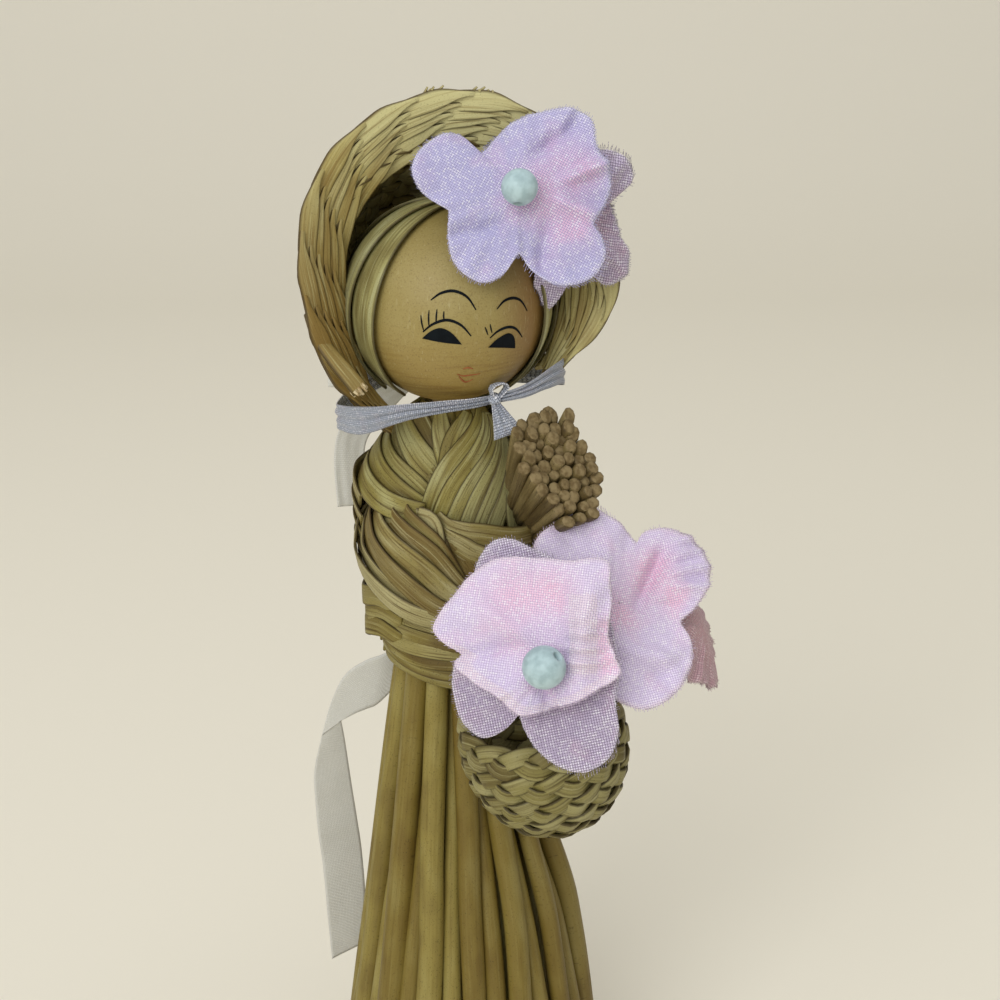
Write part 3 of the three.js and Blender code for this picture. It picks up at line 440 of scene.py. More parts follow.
def finishPiece(name, mesh, material, body, nodes=(), slot=None, inHead=False, fill=True):
    bmesh.ops.remove_doubles(mesh, verts=mesh.verts, dist=0.002)
    if fill:
        rims = [edge for edge in mesh.edges if edge.is_boundary]
        for cap in bmesh.ops.holes_fill(mesh, edges=rims, sides=0)["faces"]:
            cap.smooth = False
    bmesh.ops.recalc_face_normals(mesh, faces=mesh.faces)
    if inHead:
        bmesh.ops.transform(mesh, matrix=headPlace, verts=mesh.verts)
    bmesh.ops.scale(mesh, vec=(mm, mm, mm), verts=mesh.verts)
    data = bpy.data.meshes.new(name)
    mesh.to_mesh(data)
    mesh.free()
    data.materials.append(material)
    piece = bpy.data.objects.new(name, data)
    scene.collection.objects.link(piece)
    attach(piece, body)
    if nodes:
        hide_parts(*nodes)
    return piece


def thicken(piece, thick):
    shell = piece.modifiers.new("thickness", "SOLIDIFY")
    shell.thickness = thick * mm
    shell.offset = 0.0


def waver(seed, s, size):  # slow bend of a natural stem
    return size * noise.noise(Vector((seed * 7.3, s * 2.2, 0.5)))


# skirt of folded rushes
skirt = {
    "count": 14, "foot": 5.3, "top": 4.3, "innerTop": 3.0, "flat": 0.94, "steps": 44, "sides": 14,
    "slim": 0.8, "plump": 1.12, "knobs": 0.06, "bend": 0.7, "sway": 0.5, "bulge": 3.2, "paintedShade": 0.55,
    "behind": 3.3, "behindSpan": (0.08, 0.8), "bulgeEnd": (0.5, 0.25), "sunk": 1.0, "waves": 1.6, "foldRise": 1.6,
}


def skirtLeg(turn, height, back, seed):
    share = height / doll["skirtHeight"]
    belly = math.sin(math.pi * share)
    top = doll["skirtWaist"] - skirt["sunk"]
    reach = blend(doll["skirtBase"], top, share) - back * rising(share, skirt["behindSpan"])
    reach += skirt["bulge"] * max(0.0, math.sin(turn)) * belly * (1 - rising(share, skirt["bulgeEnd"]))
    turn = turn + waver(seed, share * skirt["waves"], skirt["bend"]) * belly / max(reach, 6)
    return ringPoint(turn, reach + waver(seed + 50, share, skirt["sway"]) * belly, height)


for i in range(skirt["count"]):
    mesh = newMesh()
    step = math.pi / skirt["count"]
    firstTurn = (2 * i + 0.5) * step
    heights = [doll["skirtHeight"] * k / skirt["steps"] for k in range(skirt["steps"] + 1)]
    front = [skirtLeg(firstTurn, height, 0.0, i) for height in heights]
    back = [skirtLeg(firstTurn + step, height, skirt["behind"], i + 20) for height in heights]
    fold = [
        front[-1].lerp(back[-1], t) + Vector((0, 0, skirt["foldRise"] * math.sin(math.pi * t)))
        for t in (0.25, 0.5, 0.75)
    ]
    route = front + fold + back[::-1]
    out = ringPoint(firstTurn + step / 2, 1, 0)
    sizes = [blend(skirt["slim"], skirt["plump"], dice.random()) for _ in range(2)]

    def girth(s, sizes=sizes):
        thin = skirt["top"] if s < 0.5 else skirt["innerTop"]
        plump = blend(sizes[0], sizes[1], ease(s * 2 - 0.5))
        knobs = 1 + skirt["knobs"] * noise.noise(Vector((s * 14, plump * 30, 0)))
        return plump * blend(skirt["foot"], thin, min(s, 1 - s) * 2) * knobs

    paintedShade = -skirt["paintedShade"] * ease(out.x)  # painted shade, browner at the doll's left
    faces = [out] * len(route)
    stem(mesh, route, faces, girth, lambda s: girth(s) * skirt["flat"], dice.random(), skirt["sides"], paintedLight=paintedShade)
    finishPiece(f"rush_{i + 1:02d}", mesh, roundRush, "body", [f"skirt_rush_{i + 1:02d}"], "rush")
print("skirt done")

# inner bundle under the skirt, and the bound core inside the bodice
inner = {
    "count": 14, "size": 3.6, "foot": 21.0, "top": 4.6, "below": 2.0, "bend": 0.8, "steps": 16,
    "core": 22, "coreLow": -3.0, "coreHigh": 45.3, "coreSteps": 14, "sink": 1.5, "wide": 0.27, "thick": 2.6,
}


def torsoRadius(height):  # side to side, height above the waist
    if height < doll["chestHeight"]:
        share = min(max(height / doll["chestHeight"], 0), 1)
        return blend(doll["waist"], doll["chest"], math.sin(math.pi / 2 * share))
    above = (height - doll["chestHeight"]) / (doll["torsoHeight"] - doll["chestHeight"])
    return blend(doll["neck"], doll["chest"], math.cos(math.pi / 2 * min(max(above, 0), 1)))


def torsoPoint(turn, height, lift):
    r = torsoRadius(height)
    return ringPoint(math.radians(turn), r + lift, doll["skirtHeight"] + height, r * doll["depth"] + lift)


def torsoFace(turn, height):
    slope = torsoRadius(height + 0.5) - torsoRadius(height - 0.5)
    return ringPoint(math.radians(turn), 1, -slope).normalized()


mesh = newMesh()
for i in range(inner["count"]):
    out = ringPoint((2 * i + 1) * math.pi / inner["count"], 1, 0)
    route = []
    for s in shares(inner["steps"]):
        reach = blend(inner["foot"], inner["top"], s) + waver(i + 70, s, inner["bend"])
        route.append(out * reach + Vector((0, 0, (doll["skirtHeight"] - inner["below"]) * s)))
    stem(mesh, route, [out] * len(route), inner["size"], inner["size"], dice.random())


def coreHeight(s):
    return blend(inner["coreLow"], inner["coreHigh"], s)


for i in range(inner["core"]):
    turn = i * 360 / inner["core"]
    heights = [coreHeight(s) for s in shares(inner["coreSteps"])]
    route = [torsoPoint(turn, height, -inner["sink"]) for height in heights]
    faces = [torsoFace(turn, height) for height in heights]
    stem(mesh, route, faces, lambda s: torsoRadius(coreHeight(s)) * inner["wide"], inner["thick"], dice.random(), 8)
finishPiece("inner_bundle", mesh, roundRush, "body", ["core_bundle"], "rush")
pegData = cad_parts["core_peg"].data
pegData.materials.clear()
pegData.materials.append(bareWood)
print("inner bundle done")

# bodice strips: turn, height above the waist, lift
bodice = {
    "steps": 26, "thick": 0.5, "lean": 7.0,
    "under": [
        [(-62, 45.0, 2.7), (-40, 43.5, 2.1), (-20, 39.5, 1.6), (-3, 35.5, 1.2), (14, 29.0, 0.9), (24, 22.0, 0.7)],
        [(-78, 44.5, 2.7), (-52, 42.0, 2.9), (-26, 37.5, 2.4), (-7, 33.0, 1.2), (10, 25.5, 0.8), (20, 17.0, 0.7)],
        [(-92, 44.0, 2.7), (-65, 40.5, 3.0), (-37, 35.5, 2.5), (-13, 30.8, 1.7), (4, 22.5, 0.8), (14, 13.0, 0.7)],
        [(-104, 43.0, 2.7), (-84, 40.2, 3.3), (-54, 36.4, 3.7), (-26, 32.0, 2.6), (-6, 25.0, 1.0), (4, 14.0, 0.7)],
        [(-114, 41.0, 2.7), (-102, 39.6, 3.7), (-78, 37.0, 4.4), (-52, 33.8, 4.5), (-28, 30.2, 3.6),
         (-10, 26.5, 1.4)],
        [(-122, 38.0, 2.7), (-112, 36.6, 3.9), (-90, 34.2, 5.0), (-64, 31.8, 5.4), (-40, 29.6, 5.3),
         (-18, 28.2, 4.2)],
    ],
    "underWidth": (3.6, 5.2, 4.6), "underTint": 0.9,
    "over": [
        [(-13, 45.0, 2.2), (-10, 43.0, 2.6), (-5, 39.5, 2.4), (-1, 36.0, 1.6), (3, 31.0, 1.0)],
        [(22, 45.0, 2.4), (14, 43.5, 2.9), (4, 40.5, 2.7), (-1, 36.8, 2.2), (-4, 31.0, 1.6)],
        [(40, 45.0, 2.4), (30, 43.0, 2.9), (1, 37.0, 3.1), (-12, 30.3, 2.9), (-17, 24.0, 2.5), (-22, 15.0, 2.3)],
        [(47, 44.5, 2.4), (37, 41.5, 2.9), (7, 34.0, 3.2), (-5, 27.5, 3.0), (-10, 23.0, 2.6), (-13, 14.0, 2.3)],
        [(53, 44.0, 2.4), (44, 40.0, 2.9), (15, 33.0, 3.3), (1, 25.0, 3.0), (-3, 20.0, 2.6), (-4, 12.0, 2.3)],
        [(58, 43.0, 2.4), (48, 38.8, 2.9), (23, 31.8, 3.2), (11, 24.4, 3.0), (7, 19.0, 2.6), (6, 11.0, 2.3)],
        [(62, 42.0, 2.3), (51, 37.5, 2.8), (31.5, 31.0, 3.1), (20, 24.2, 2.9), (17, 18.0, 2.6), (16, 10.0, 2.3)],
        [(66, 40.5, 2.3), (54, 35.7, 2.7), (39, 29.5, 2.9), (30, 24.0, 2.8), (28, 17.0, 2.5), (27, 10.0, 2.3)],
        [(62, 38.0, 2.0), (50, 32.0, 2.5), (48, 27.8, 2.6), (52, 22.5, 2.5), (54, 14.0, 2.3)],
    ],
    "overWidth": (2.2, 4.4, 3.6), "overTint": 0.65,
    # painted light on the later over strips, at the doll's left where shadow falls
    "underPaintedLight": (0,) * 6, "overPaintedLight": (0, 0, 0, 0, 0.2, 0.6, 0.8, 0.9, 0.9),
}


def strip(mesh, route, widths, thick, tint, steps, lean, half=0.0, paintedLight=0.0, point=torsoPoint, face=torsoFace):
    path, faces = [], []
    for k in range(steps + 1):
        turn, height, lift = through(route, k / steps)
        lift += 0.15 * noise.noise(Vector((tint * 60, 3 * k / steps, 2.5)))  # never quite flat
        path.append(point(turn + half, height, lift))
        faces.append(face(turn + half, height))
    wide = [(width,) for width in widths]
    stem(mesh, path, faces, lambda s: through(wide, s)[0], thick, tint, 12, 0.85, math.radians(lean), paintedLight)


for side, half in (("front", 0.0), ("back", 180.0)):
    for layer, slot in (("under", "rush"), ("over", "pale_rush")):
        mesh = newMesh()
        for route, paintedLight in zip(bodice[layer], bodice[layer + "PaintedLight"]):
            widths = [width * blend(0.92, 1.08, dice.random()) for width in bodice[layer + "Width"]]
            tint = bodice[layer + "Tint"] * dice.random()
            strip(mesh, route, widths, bodice["thick"], tint, bodice["steps"], bodice["lean"], half, paintedLight)
        finishPiece(f"bodice_strips_{side}_{layer}", mesh, flatRush, "body", [f"bodice_{side}_{layer}"], slot)
print("bodice done")

# arms: strips that fan out at the elbow and close at the hands
arms = {
    "thick": 0.5, "steps": 32, "lean": -5.0, "gaps": (0.3, 0.7), "lower": 0.8,
    "right": [
        [(-96, 28.5, 1.4), (-88, 26.2, 3.4), (-81, 22.8, 6.2), (-77, 17.4, 7.2), (-48, 11.7, 6.4),
         (-21.5, 8.5, 5.8), (6, 7.0, 4.6)],
        [(-80, 30.5, 1.4), (-72, 28.0, 3.2), (-63, 25.2, 5.4), (-53.5, 21.1, 6.2), (-31, 15.6, 6.4),
         (-9, 10.6, 6.0), (12, 8.5, 4.6)],
        [(-67, 31.5, 1.4), (-60, 29.0, 3.2), (-52, 26.6, 5.2), (-39, 23.4, 6.3), (-18.5, 18.8, 6.4),
         (-1, 13.4, 6.0), (15, 10.0, 4.6)],
        [(-54, 32.0, 1.4), (-48, 29.6, 3.2), (-41.5, 27.6, 5.0), (-29.5, 25.2, 6.0), (-12.5, 21.3, 6.2),
         (2, 15.1, 5.8), (17, 11.0, 4.6)],
        [(-42, 32.2, 1.4), (-37, 29.8, 3.1), (-31, 28.0, 4.8), (-19.5, 25.5, 5.6), (-10, 22.7, 5.7),
         (0, 17.0, 5.2), (10, 12.5, 4.4)],
        [(-31, 32.0, 1.4), (-27, 29.4, 2.4), (-22, 27.6, 4.4), (-14, 27.0, 5.0), (-11, 23.9, 5.1),
         (-8.5, 19.0, 5.0), (0, 14.0, 4.4)],
    ],
    "rightWidth": (3.4, 4.4, 4.8, 5.0, 4.8, 4.2, 2.8),
    "left": [
        [(-13, 25.5, 3.6), (-8, 23.2, 4.3), (1, 20.5, 4.6), (10, 16.8, 4.8), (30, 14.6, 5.2), (70, 14.8, 5.8),
         (110, 16.0, 5.6), (150, 17.0, 4.2), (185, 18.0, 1.2)],
        [(-11, 26.5, 3.6), (-6, 24.6, 4.4), (5, 22.6, 4.9), (16, 20.6, 5.2), (40, 18.6, 5.6), (80, 18.8, 6.0),
         (115, 20.0, 5.6), (150, 21.0, 4.2), (185, 22.0, 1.2)],
        [(-10, 28.0, 3.6), (-3, 26.2, 4.4), (8, 25.0, 4.8), (18, 24.4, 5.0), (45, 22.6, 5.4), (85, 22.8, 5.8),
         (120, 24.0, 5.4), (150, 25.0, 4.2), (185, 26.0, 1.2)],
    ],
    "leftWidth": (2.6, 4.2, 4.6, 4.4, 3.6),
    "backRoute": [(-205, 4, 1.2), (-180, 3.4, 3.4), (-145, 2.2, 5.4), (-110, 1, 6.2), (-88, 0, 6.4), (-72, -3, 5.6)],
    "backHeights": (15, 19, 23, 27, 31), "backWidth": (4.6, 4.6),
}
for side, slot in (("right", "pale_rush"), ("left", "rush")):
    mesh = newMesh()
    routes = [(route, arms[side + "Width"]) for route in arms[side]]
    for first, second in zip(arms[side], arms[side][1:]):  # lower strips behind each gap
        for share in arms["gaps"]:
            between = [[blend(p, q, share) for p, q in zip(a, b)] for a, b in zip(first, second)]
            between = [(turn, height, lift - arms["lower"]) for turn, height, lift in between]
            routes.append((between, arms[side + "Width"]))
    if side == "right":
        for low in arms["backHeights"]:
            routes.append(([(turn, low + more, lift) for turn, more, lift in arms["backRoute"]], arms["backWidth"]))
    for route, widths in routes:
        widths = [width * blend(0.94, 1.08, dice.random()) for width in widths]
        strip(mesh, route, widths, arms["thick"], dice.random(), arms["steps"], arms["lean"])
    finishPiece(f"arm_strips_{side}", mesh, armRush, "body", [f"arm_{side}"], slot)
print("arms done")

# waist band: strips wound round, a little aslant, with folded cut ends at the doll's right
waist = {
    "thick": 0.7, "steps": 64, "width": 2.7, "lean": 6.0, "start": -100, "wind": 375, "climb": 0.5,
    "slant": 1.6, "slantFrom": 40, "wave": 0.4, "out": 3.0, "sunk": 0.7, "join": (2, 7), "tilt": 0.12,
    "rows": [(-3.2, 0.3), (-1.4, 0.8), (0.4, 1.1), (2.2, 1.3), (4.0, 1.2), (5.8, 0.9), (7.4, 0.4), (8.8, 0.0)],
    "ends": [(9.5, 9.0), (6.5, 4.6), (3.5, 0.4)], "endWidth": (3.2, 4.0, 4.0, 3.4), "endSteps": 14,
}


def waistPoint(turn, height, lift):
    high = rising(height, waist["join"])  # from the skirt's round top to the flatter torso
    low = doll["waistOut"] - waist["sunk"]
    r = torsoRadius(height)
    wide = blend(low, r + waist["out"], high) + lift
    deep = blend(low, r * doll["depth"] + waist["out"], high) + lift
    return ringPoint(math.radians(turn), wide, doll["skirtHeight"] + height, deep)


def waistFace(turn, height):
    return ringPoint(math.radians(turn), 1, waist["tilt"]).normalized()


mesh = newMesh()
for height, lift in waist["rows"]:
    path, faces = [], []
    for k in range(waist["steps"] + 1):
        turn = waist["start"] + waist["wind"] * k / waist["steps"]
        drift = -waist["slant"] * math.sin(math.radians(turn + waist["slantFrom"]))
        drift += waist["wave"] * math.sin(math.radians(3 * turn + height * 40))
        path.append(waistPoint(turn, height + drift, lift + waist["climb"] * k / waist["steps"]))
        faces.append(waistFace(turn, height))
    stem(mesh, path, faces, waist["width"], waist["thick"], dice.random(), 12, 0.85, math.radians(waist["lean"]))
for height, end in waist["ends"]:
    route = [
        (-44, height - 1, 1.2), (-66, height, 2.4), (-84, height - 1, 4.2), (-98, end, 3.6), (-112, end - 0.5, 1.4)]
    strip(mesh, route, waist["endWidth"], waist["thick"], dice.random(), waist["endSteps"], waist["lean"],
          point=waistPoint, face=waistFace)
finishPiece("waist_strips", mesh, waistRush, "body", ["waist_band"], "rush")
print("waist done")

# shoulder tuft: a bunch of stems cut off slanting
tuft = {
    "root": (14.2, -5.0, 145.6), "gather": 0.6, "middle": (19.0, -13.8, 156.4), "face": (0.45, -0.74, 0.5),
    "wide": 7.7, "tall": 11.2, "turn": 97.9, "cell": 2.36, "rowGap": 0.87, "shake": 0.35, "half": 7,
    "size": 2.6, "uneven": 1.6, "askew": 0.5, "soft": 0.5, "ceiling": 163.7,
    "wideSpan": (0.8, 1.0), "thickSpan": (0.76, 0.94), "spare": 1.2,
}


def cutStem(mesh, root, to, size, tint, cutFace):
    ahead = (to - root).normalized()
    face = ahead.cross(Vector((1, 0, 0))).normalized()
    path = straight(root, to, 5)
    path[-1] += ahead * tuft["spare"]  # room for the slanting cut

    def wide(s):
        return size * blend(*tuft["wideSpan"], s)

    def thick(s):
        return size * blend(*tuft["thickSpan"], s)

    verts = stem(mesh, path, [face] * len(path), wide, thick, tint, 9)
    bmesh.ops.remove_doubles(mesh, verts=verts, dist=0.002)
    verts = [vert for vert in verts if vert.is_valid]
    edges = list({edge for vert in verts for edge in vert.link_edges})
    patches = list({patch for vert in verts for patch in vert.link_faces})
    cut = bmesh.ops.bisect_plane(
        mesh, geom=verts + edges + patches, dist=0.0001, plane_co=to, plane_no=cutFace, clear_outer=True)["geom_cut"]
    rim = [part for part in cut if isinstance(part, bmesh.types.BMEdge)]
    for cap in bmesh.ops.holes_fill(mesh, edges=rim, sides=0)["faces"]:
        cap.material_index = 1
    bmesh.ops.bevel(mesh, geom=rim, offset=tuft["soft"], segments=2, profile=0.5, affect="EDGES", material=-1)


def shaken(most):
    return most * (dice.random() - 0.5)


mesh = newMesh()
toward = Vector(tuft["face"]).normalized()
sideways = Vector((0, 0, 1)).cross(toward).normalized()
upward = toward.cross(sideways)
slant = math.radians(tuft["turn"])
for row in range(-tuft["half"], tuft["half"] + 1):
    for column in range(-tuft["half"], tuft["half"] + 1):
        x = (column + 0.5 * (row % 2) + shaken(tuft["shake"])) * tuft["cell"]
        y = (row * tuft["rowGap"] + shaken(tuft["shake"])) * tuft["cell"]
        far = (x * math.cos(slant) + y * math.sin(slant)) / tuft["tall"]
        near = (y * math.cos(slant) - x * math.sin(slant)) / tuft["wide"]
        if far * far + near * near > 1:
            continue
        shift = sideways * x + upward * y
        end = Vector(tuft["middle"]) + shift + toward * shaken(tuft["uneven"])
        end.z = min(end.z, tuft["ceiling"])
        root = Vector(tuft["root"]) + shift * tuft["gather"]
        cutFace = (toward + Vector([shaken(tuft["askew"]) for _ in range(3)])).normalized()
        cutStem(mesh, root, end, tuft["size"] * blend(0.88, 1.12, dice.random()), dice.random(), cutFace)
tuftPiece = finishPiece("tuft_stems", mesh, cutRush, "body", ["shoulder_tuft"], "rush")
tuftPiece.data.materials.append(pithRush)
print("tuft done")

# head ball, bored for the peg
ball = {"bore": 3.8, "deep": 15.3}
mesh = newMesh()
bmesh.ops.create_uvsphere(mesh, u_segments=96, v_segments=64, radius=doll["ball"])
mouth = -math.sqrt(doll["ball"] ** 2 - ball["bore"] ** 2)
everything = mesh.verts[:] + mesh.edges[:] + mesh.faces[:]
bmesh.ops.bisect_plane(mesh, geom=everything, plane_co=(0, 0, mouth), plane_no=(0, 0, -1), clear_outer=True)
smoothed(mesh)
rims = [edge for edge in mesh.edges if edge.is_boundary]
wall = [part for part in bmesh.ops.extrude_edge_only(mesh, edges=rims)["geom"] if isinstance(part, bmesh.types.BMVert)]
bmesh.ops.translate(mesh, vec=(0, 0, ball["deep"]), verts=wall)
finishPiece("head_wood", mesh, tintedWood, "head", ["head_ball"], "head_wood", inHead=True)

# painted face, turn from the middle of the face and height in degrees
face = {
    "lift": 0.05, "line": 0.5, "lash": 0.28, "lip": 0.4, "thick": 0.09,
    "brows": [
        [(-24, 12.5), (-18.3, 16.3), (-10.9, 17.3), (-3.7, 13.8), (0.9, 6.5)],
        [(13.4, 5.9), (18.4, 9.7), (24.9, 10.5), (30.8, 8.0), (35.3, 1.7)],
    ],
    "lids": [
        [(-28.7, -5.1), (-22.9, -0.5), (-15.2, 1.7), (-7.7, -1.3), (-2.1, -7.8)],
        [(9.1, -10.0), (13.9, -6.5), (20.5, -5.1), (26.5, -7.1), (32.4, -12.9)],
    ],
    "lashes": [
        [(-28.1, -5.0), (-29.2, 0.0), (-29.6, 4.3)], [(-25.2, -2.2), (-25.3, 2.5), (-25.0, 7.1)],
        [(-21.3, -0.2), (-21.0, 4.0), (-20.6, 7.7)], [(-16.9, 1.3), (-17.0, 4.0), (-16.8, 6.6)],
        [(7.8, -8.1), (6.8, -5.6), (5.9, -3.3)], [(10.2, -7.2), (9.4, -4.4), (8.9, -1.9)],
    ],
    "eyes": [
        ([(-29.5, -8.8), (-24.2, -4.4), (-18.6, -2.7), (-12.7, -5.6), (-7.2, -12.5)],
         [(-29.5, -8.8), (-18.3, -11.0), (-7.2, -12.5)]),
        ([(8.4, -15.6), (13.6, -11.1), (20.8, -8.6), (25.6, -11.7), (28.2, -19.0)],
         [(8.4, -15.6), (17.8, -17.0), (28.2, -19.0)]),
    ],
    "mouth": [
        [(-9.7, -32.6), (-5.6, -34.3), (-0.8, -34.1), (6.3, -33.6)],
        [(-6.0, -29.0), (-2.9, -28.0), (0.6, -29.4)],
        [(-8.3, -34.6), (-3.5, -39.8), (2.1, -37.8)],
    ],
}


def onBall(turn, height, lift):
    height = math.radians(height)
    r = doll["ball"] + lift
    return ringPoint(math.radians(turn), r * math.cos(height), r * math.sin(height))


def brushStroke(mesh, points, width, steps=18):
    path = [onBall(*through(points, s), face["lift"]) for s in shares(steps)]
    faces = [spot.normalized() for spot in path]

    def press(s):  # thin where the brush sets down and lifts
        return width * (0.35 + 0.65 * math.sin(math.pi * min(max(s, 0.03), 0.97)))

    stem(mesh, path, faces, press, face["thick"], 0.5, 6)


mesh = newMesh()
for line in face["brows"] + face["lids"]:
    brushStroke(mesh, line, face["line"])
for line in face["lashes"]:
    brushStroke(mesh, line, face["lash"], 8)
for top, low in face["eyes"]:
    def eyeSpot(u, s, top=top, low=low):
        high, base = through(top, u), through(low, u)
        turn, height = blend(base[0], high[0], s), blend(base[1], high[1], s)
        return onBall(turn, height, face["lift"] + 0.03), (turn, height)
    shapeGrid(mesh, 20, 6, eyeSpot, {})
finishPiece("face_lines", mesh, inkPaint, "head", inHead=True, fill=False)
mesh = newMesh()
for line in face["mouth"]:
    brushStroke(mesh, line, face["lip"])
finishPiece("face_mouth", mesh, lipPaint, "head", inHead=True, fill=False)
print("head and face done")

# hair: flat strips from the parting down both sides
hair = {
    "right": 57.0, "left": 48.0, "nodes": 3, "each": 2, "top": 5.0, "end": 143.0, "tilt": 7.0, "bend": 3.0,
    "width": 7.6, "thick": 0.6, "lift": 0.6, "layer": 0.55, "lean": 4.0, "steps": 28,
    "narrow": 0.25, "start": 0.08, "long": 0.74, "topStep": 2.5, "endStep": 3,
}
tilt = Matrix.Rotation(math.radians(hair["tilt"]), 3, "X")


def hairWidth(s):
    full = math.sin(math.pi * (hair["start"] + hair["long"] * s))
    return hair["width"] * (hair["narrow"] + (1 - hair["narrow"]) * full)


for name, side in (("right", -1), ("left", 1)):
    for node in range(hair["nodes"]):
        mesh = newMesh()
        for k in range(hair["each"]):
            number = node * hair["each"] + k
            wide = (180 - hair[name]) / (hair["nodes"] * hair["each"])
            middle = hair[name] + (number + 0.5) * wide
            r = doll["ball"] + hair["lift"] + hair["layer"] * (number % 2)
            top, end = hair["top"] + hair["topStep"] * (number % 2), hair["end"] - hair["endStep"] * (number % 3)
            path = []
            for s in shares(hair["steps"]):
                polar = math.radians(blend(top, end, s))
                turn = math.radians(middle + waver(number + 30 * side, s, hair["bend"]))
                path.append(tilt @ ringPoint(side * turn, r * math.sin(polar), r * math.cos(polar)))
            faces = [spot.normalized() for spot in path]
            lean = math.radians(side * hair["lean"])
            stem(mesh, path, faces, hairWidth, hair["thick"], dice.random(), 12, 0.85, lean)
        piece = f"{name}_{node + 1}"
        finishPiece("hair_strips_" + piece, mesh, hairRush, "head", ["hair_" + piece], "pale_rush", inHead=True)
print("hair done")


# plaits of three strands
def plaitStem(mesh, place, length, plait, strand, tint, closed):
    turns = length / plait["period"]
    if closed:
        turns = round(turns)
    steps = math.ceil(turns * plait["steps"])
    path, faces = [], []
    for k in range(steps + 1):
        run = length * k / steps
        phase = 2 * math.pi * (turns * k / steps + strand / 3)
        across = plait["swing"] * math.sin(phase)
        depth = plait["dip"] * math.sin(2 * phase)
        path.append(place(run, across, depth))
        faces.append(place(run, across, depth + 0.5) - place(run, across, depth - 0.5))
    stem(mesh, path, faces, plait["stemWidth"], plait["stemThick"], tint, plait["sides"], 0.8)


# brim: a flat plait, so a strand shows as a patch of strips that taper over the next patch and then dive under
brim = {
    "halfWide": 23.4, "halfHigh": 29.0, "rise": 2.5, "forward": 4.0, "rightEnd": 146.0, "leftEnd": 125.0,
    "form": [  # reach, flare, set back, how wide inward
        (-1.8, 44, 0, 1), (-1.2, 40, 0.4, 1), (1.2, 25, 1.0, 1.22), (0.2, 22, 1.2, 1.3), (0.8, 28, 0.8, 1.25),
        (1.8, 42, 0, 1), (0.0, 44, 0, 1),
    ],
    "leftClose": (92, 33), "leftTaper": 0.6, "leftDrop": 2.2, "rightClose": (106, 30), "rightTaper": 0.5,
    "period": 26.0, "slant": 0.7, "swing": 1.35, "shown": 0.58, "tuck": 0.8, "lean": 9.0,
    "over": 0.6, "under": -0.6, "deep": -1.5, "layer": 0.14, "lift": 0.6, "dive": 0.25, "climb": (0.75, 0.25),
    "root": 0.7, "swell": 0.3, "tip": 0.25, "slim": (0.6, 0.4),  # a strip's width along the part on top
    "stems": [(-3.5, 2.6), (-1.7, 2.7), (0.1, 2.7), (1.9, 2.8), (4.1, 3.8)],  # place across, width
    "stemThick": 0.6, "steps": 30, "sides": 12,
    # painted shade down the doll's right side of the brim and painted light across its top, along the run
    "paintedLight": [(-0.9,), (-1.0,), (-0.3,), (0.9,), (0.8,), (0.2,), (0.0,)],
    "frays": [-6.0, 10.0, 62.0, 66.0], "fraySpan": 5, "fibres": 16, "frayRoot": 4.7, "frayTip": 5.6, "frayLong": 1.1,
}
brimMean = math.sqrt((brim["halfWide"] ** 2 + brim["halfHigh"] ** 2) / 2)
brimLength = math.radians(brim["rightEnd"] + brim["leftEnd"]) * brimMean


def brimTaper(run):  # the plait closes towards its tied ends
    turn = run / brimMean * 180 / math.pi - brim["rightEnd"]
    left, right = rising(turn, brim["leftClose"]), rising(-turn, brim["rightClose"])
    return 1 - brim["leftTaper"] * left - brim["rightTaper"] * right


def brimPoint(run, across, depth):
    turn = math.radians(-brim["rightEnd"]) + run / brimMean
    reach, flare, back, inward = through(brim["form"], run / brimLength)
    across = across * (inward if across < 0 else 1) * brimTaper(run)
    across = across - brim["leftDrop"] * rising(math.degrees(turn), brim["leftClose"])
    lean = math.radians(flare)
    out = Vector((math.sin(turn) / brim["halfWide"], 0, math.cos(turn) / brim["halfHigh"])).normalized()
    high = brim["rise"] + brim["halfHigh"] * math.cos(turn)
    middle = Vector((brim["halfWide"] * math.sin(turn), back - brim["forward"], high)) + out * reach
    wide = out * math.cos(lean) + Vector((0, -math.sin(lean), 0))
    under = out * math.sin(lean) + Vector((0, math.cos(lean), 0))
    return middle + wide * across - under * depth


def brimStem(mesh, strand, number, offset, width, tint):
    steps = math.ceil(brimLength / brim["period"] * brim["steps"])
    hidden = 1 / brim["shown"] - 1
    over, under, deep, root, tip = (brim[key] for key in ("over", "under", "deep", "root", "tip"))
    tuck = brim["tuck"] * (offset > 0)

    def showing(run):  # 0 to 1 along the part on top, beyond that below
        return ((run - brim["slant"] * offset) / brim["period"] + strand / 3) % 1 / brim["shown"]

    def girth(s):
        part = showing(s * brimLength)
        if part < 1:
            full = blend(root, 1.0, ease(part / brim["swell"])) * (1 - (1 - tip) * rising(part, brim["slim"]))
        else:
            full = blend(tip, root, ease((part - 1) / hidden))
        return width * full * brimTaper(s * brimLength)

    path, faces = [], []
    for k in range(steps + 1):
        run = brimLength * k / steps
        part = showing(run)
        if part < 1:
            across = offset + brim["swing"] * (2 * part - 1) - tuck * ease(1 - 3 * part)
            depth = blend(under, over, ease(part / brim["lift"]))
        else:
            back = (part - 1) / hidden
            across = offset + brim["swing"] * (1 - 2 * back) - tuck * ease(4 * back)
            depth = blend(over, deep, ease(back / brim["dive"])) + (under - deep) * rising(back, brim["climb"])
        depth += brim["layer"] * number
        path.append(brimPoint(run, across, depth))
        faces.append(brimPoint(run, across, depth + 0.5) - brimPoint(run, across, depth - 0.5))

    # painted light and shade along the brim
    def paintedLight(s):
        return through(brim["paintedLight"], s)[0]

    lean = math.radians(brim["lean"])
    stem(mesh, path, faces, girth, brim["stemThick"], tint, brim["sides"], 0.85, lean, paintedLight)


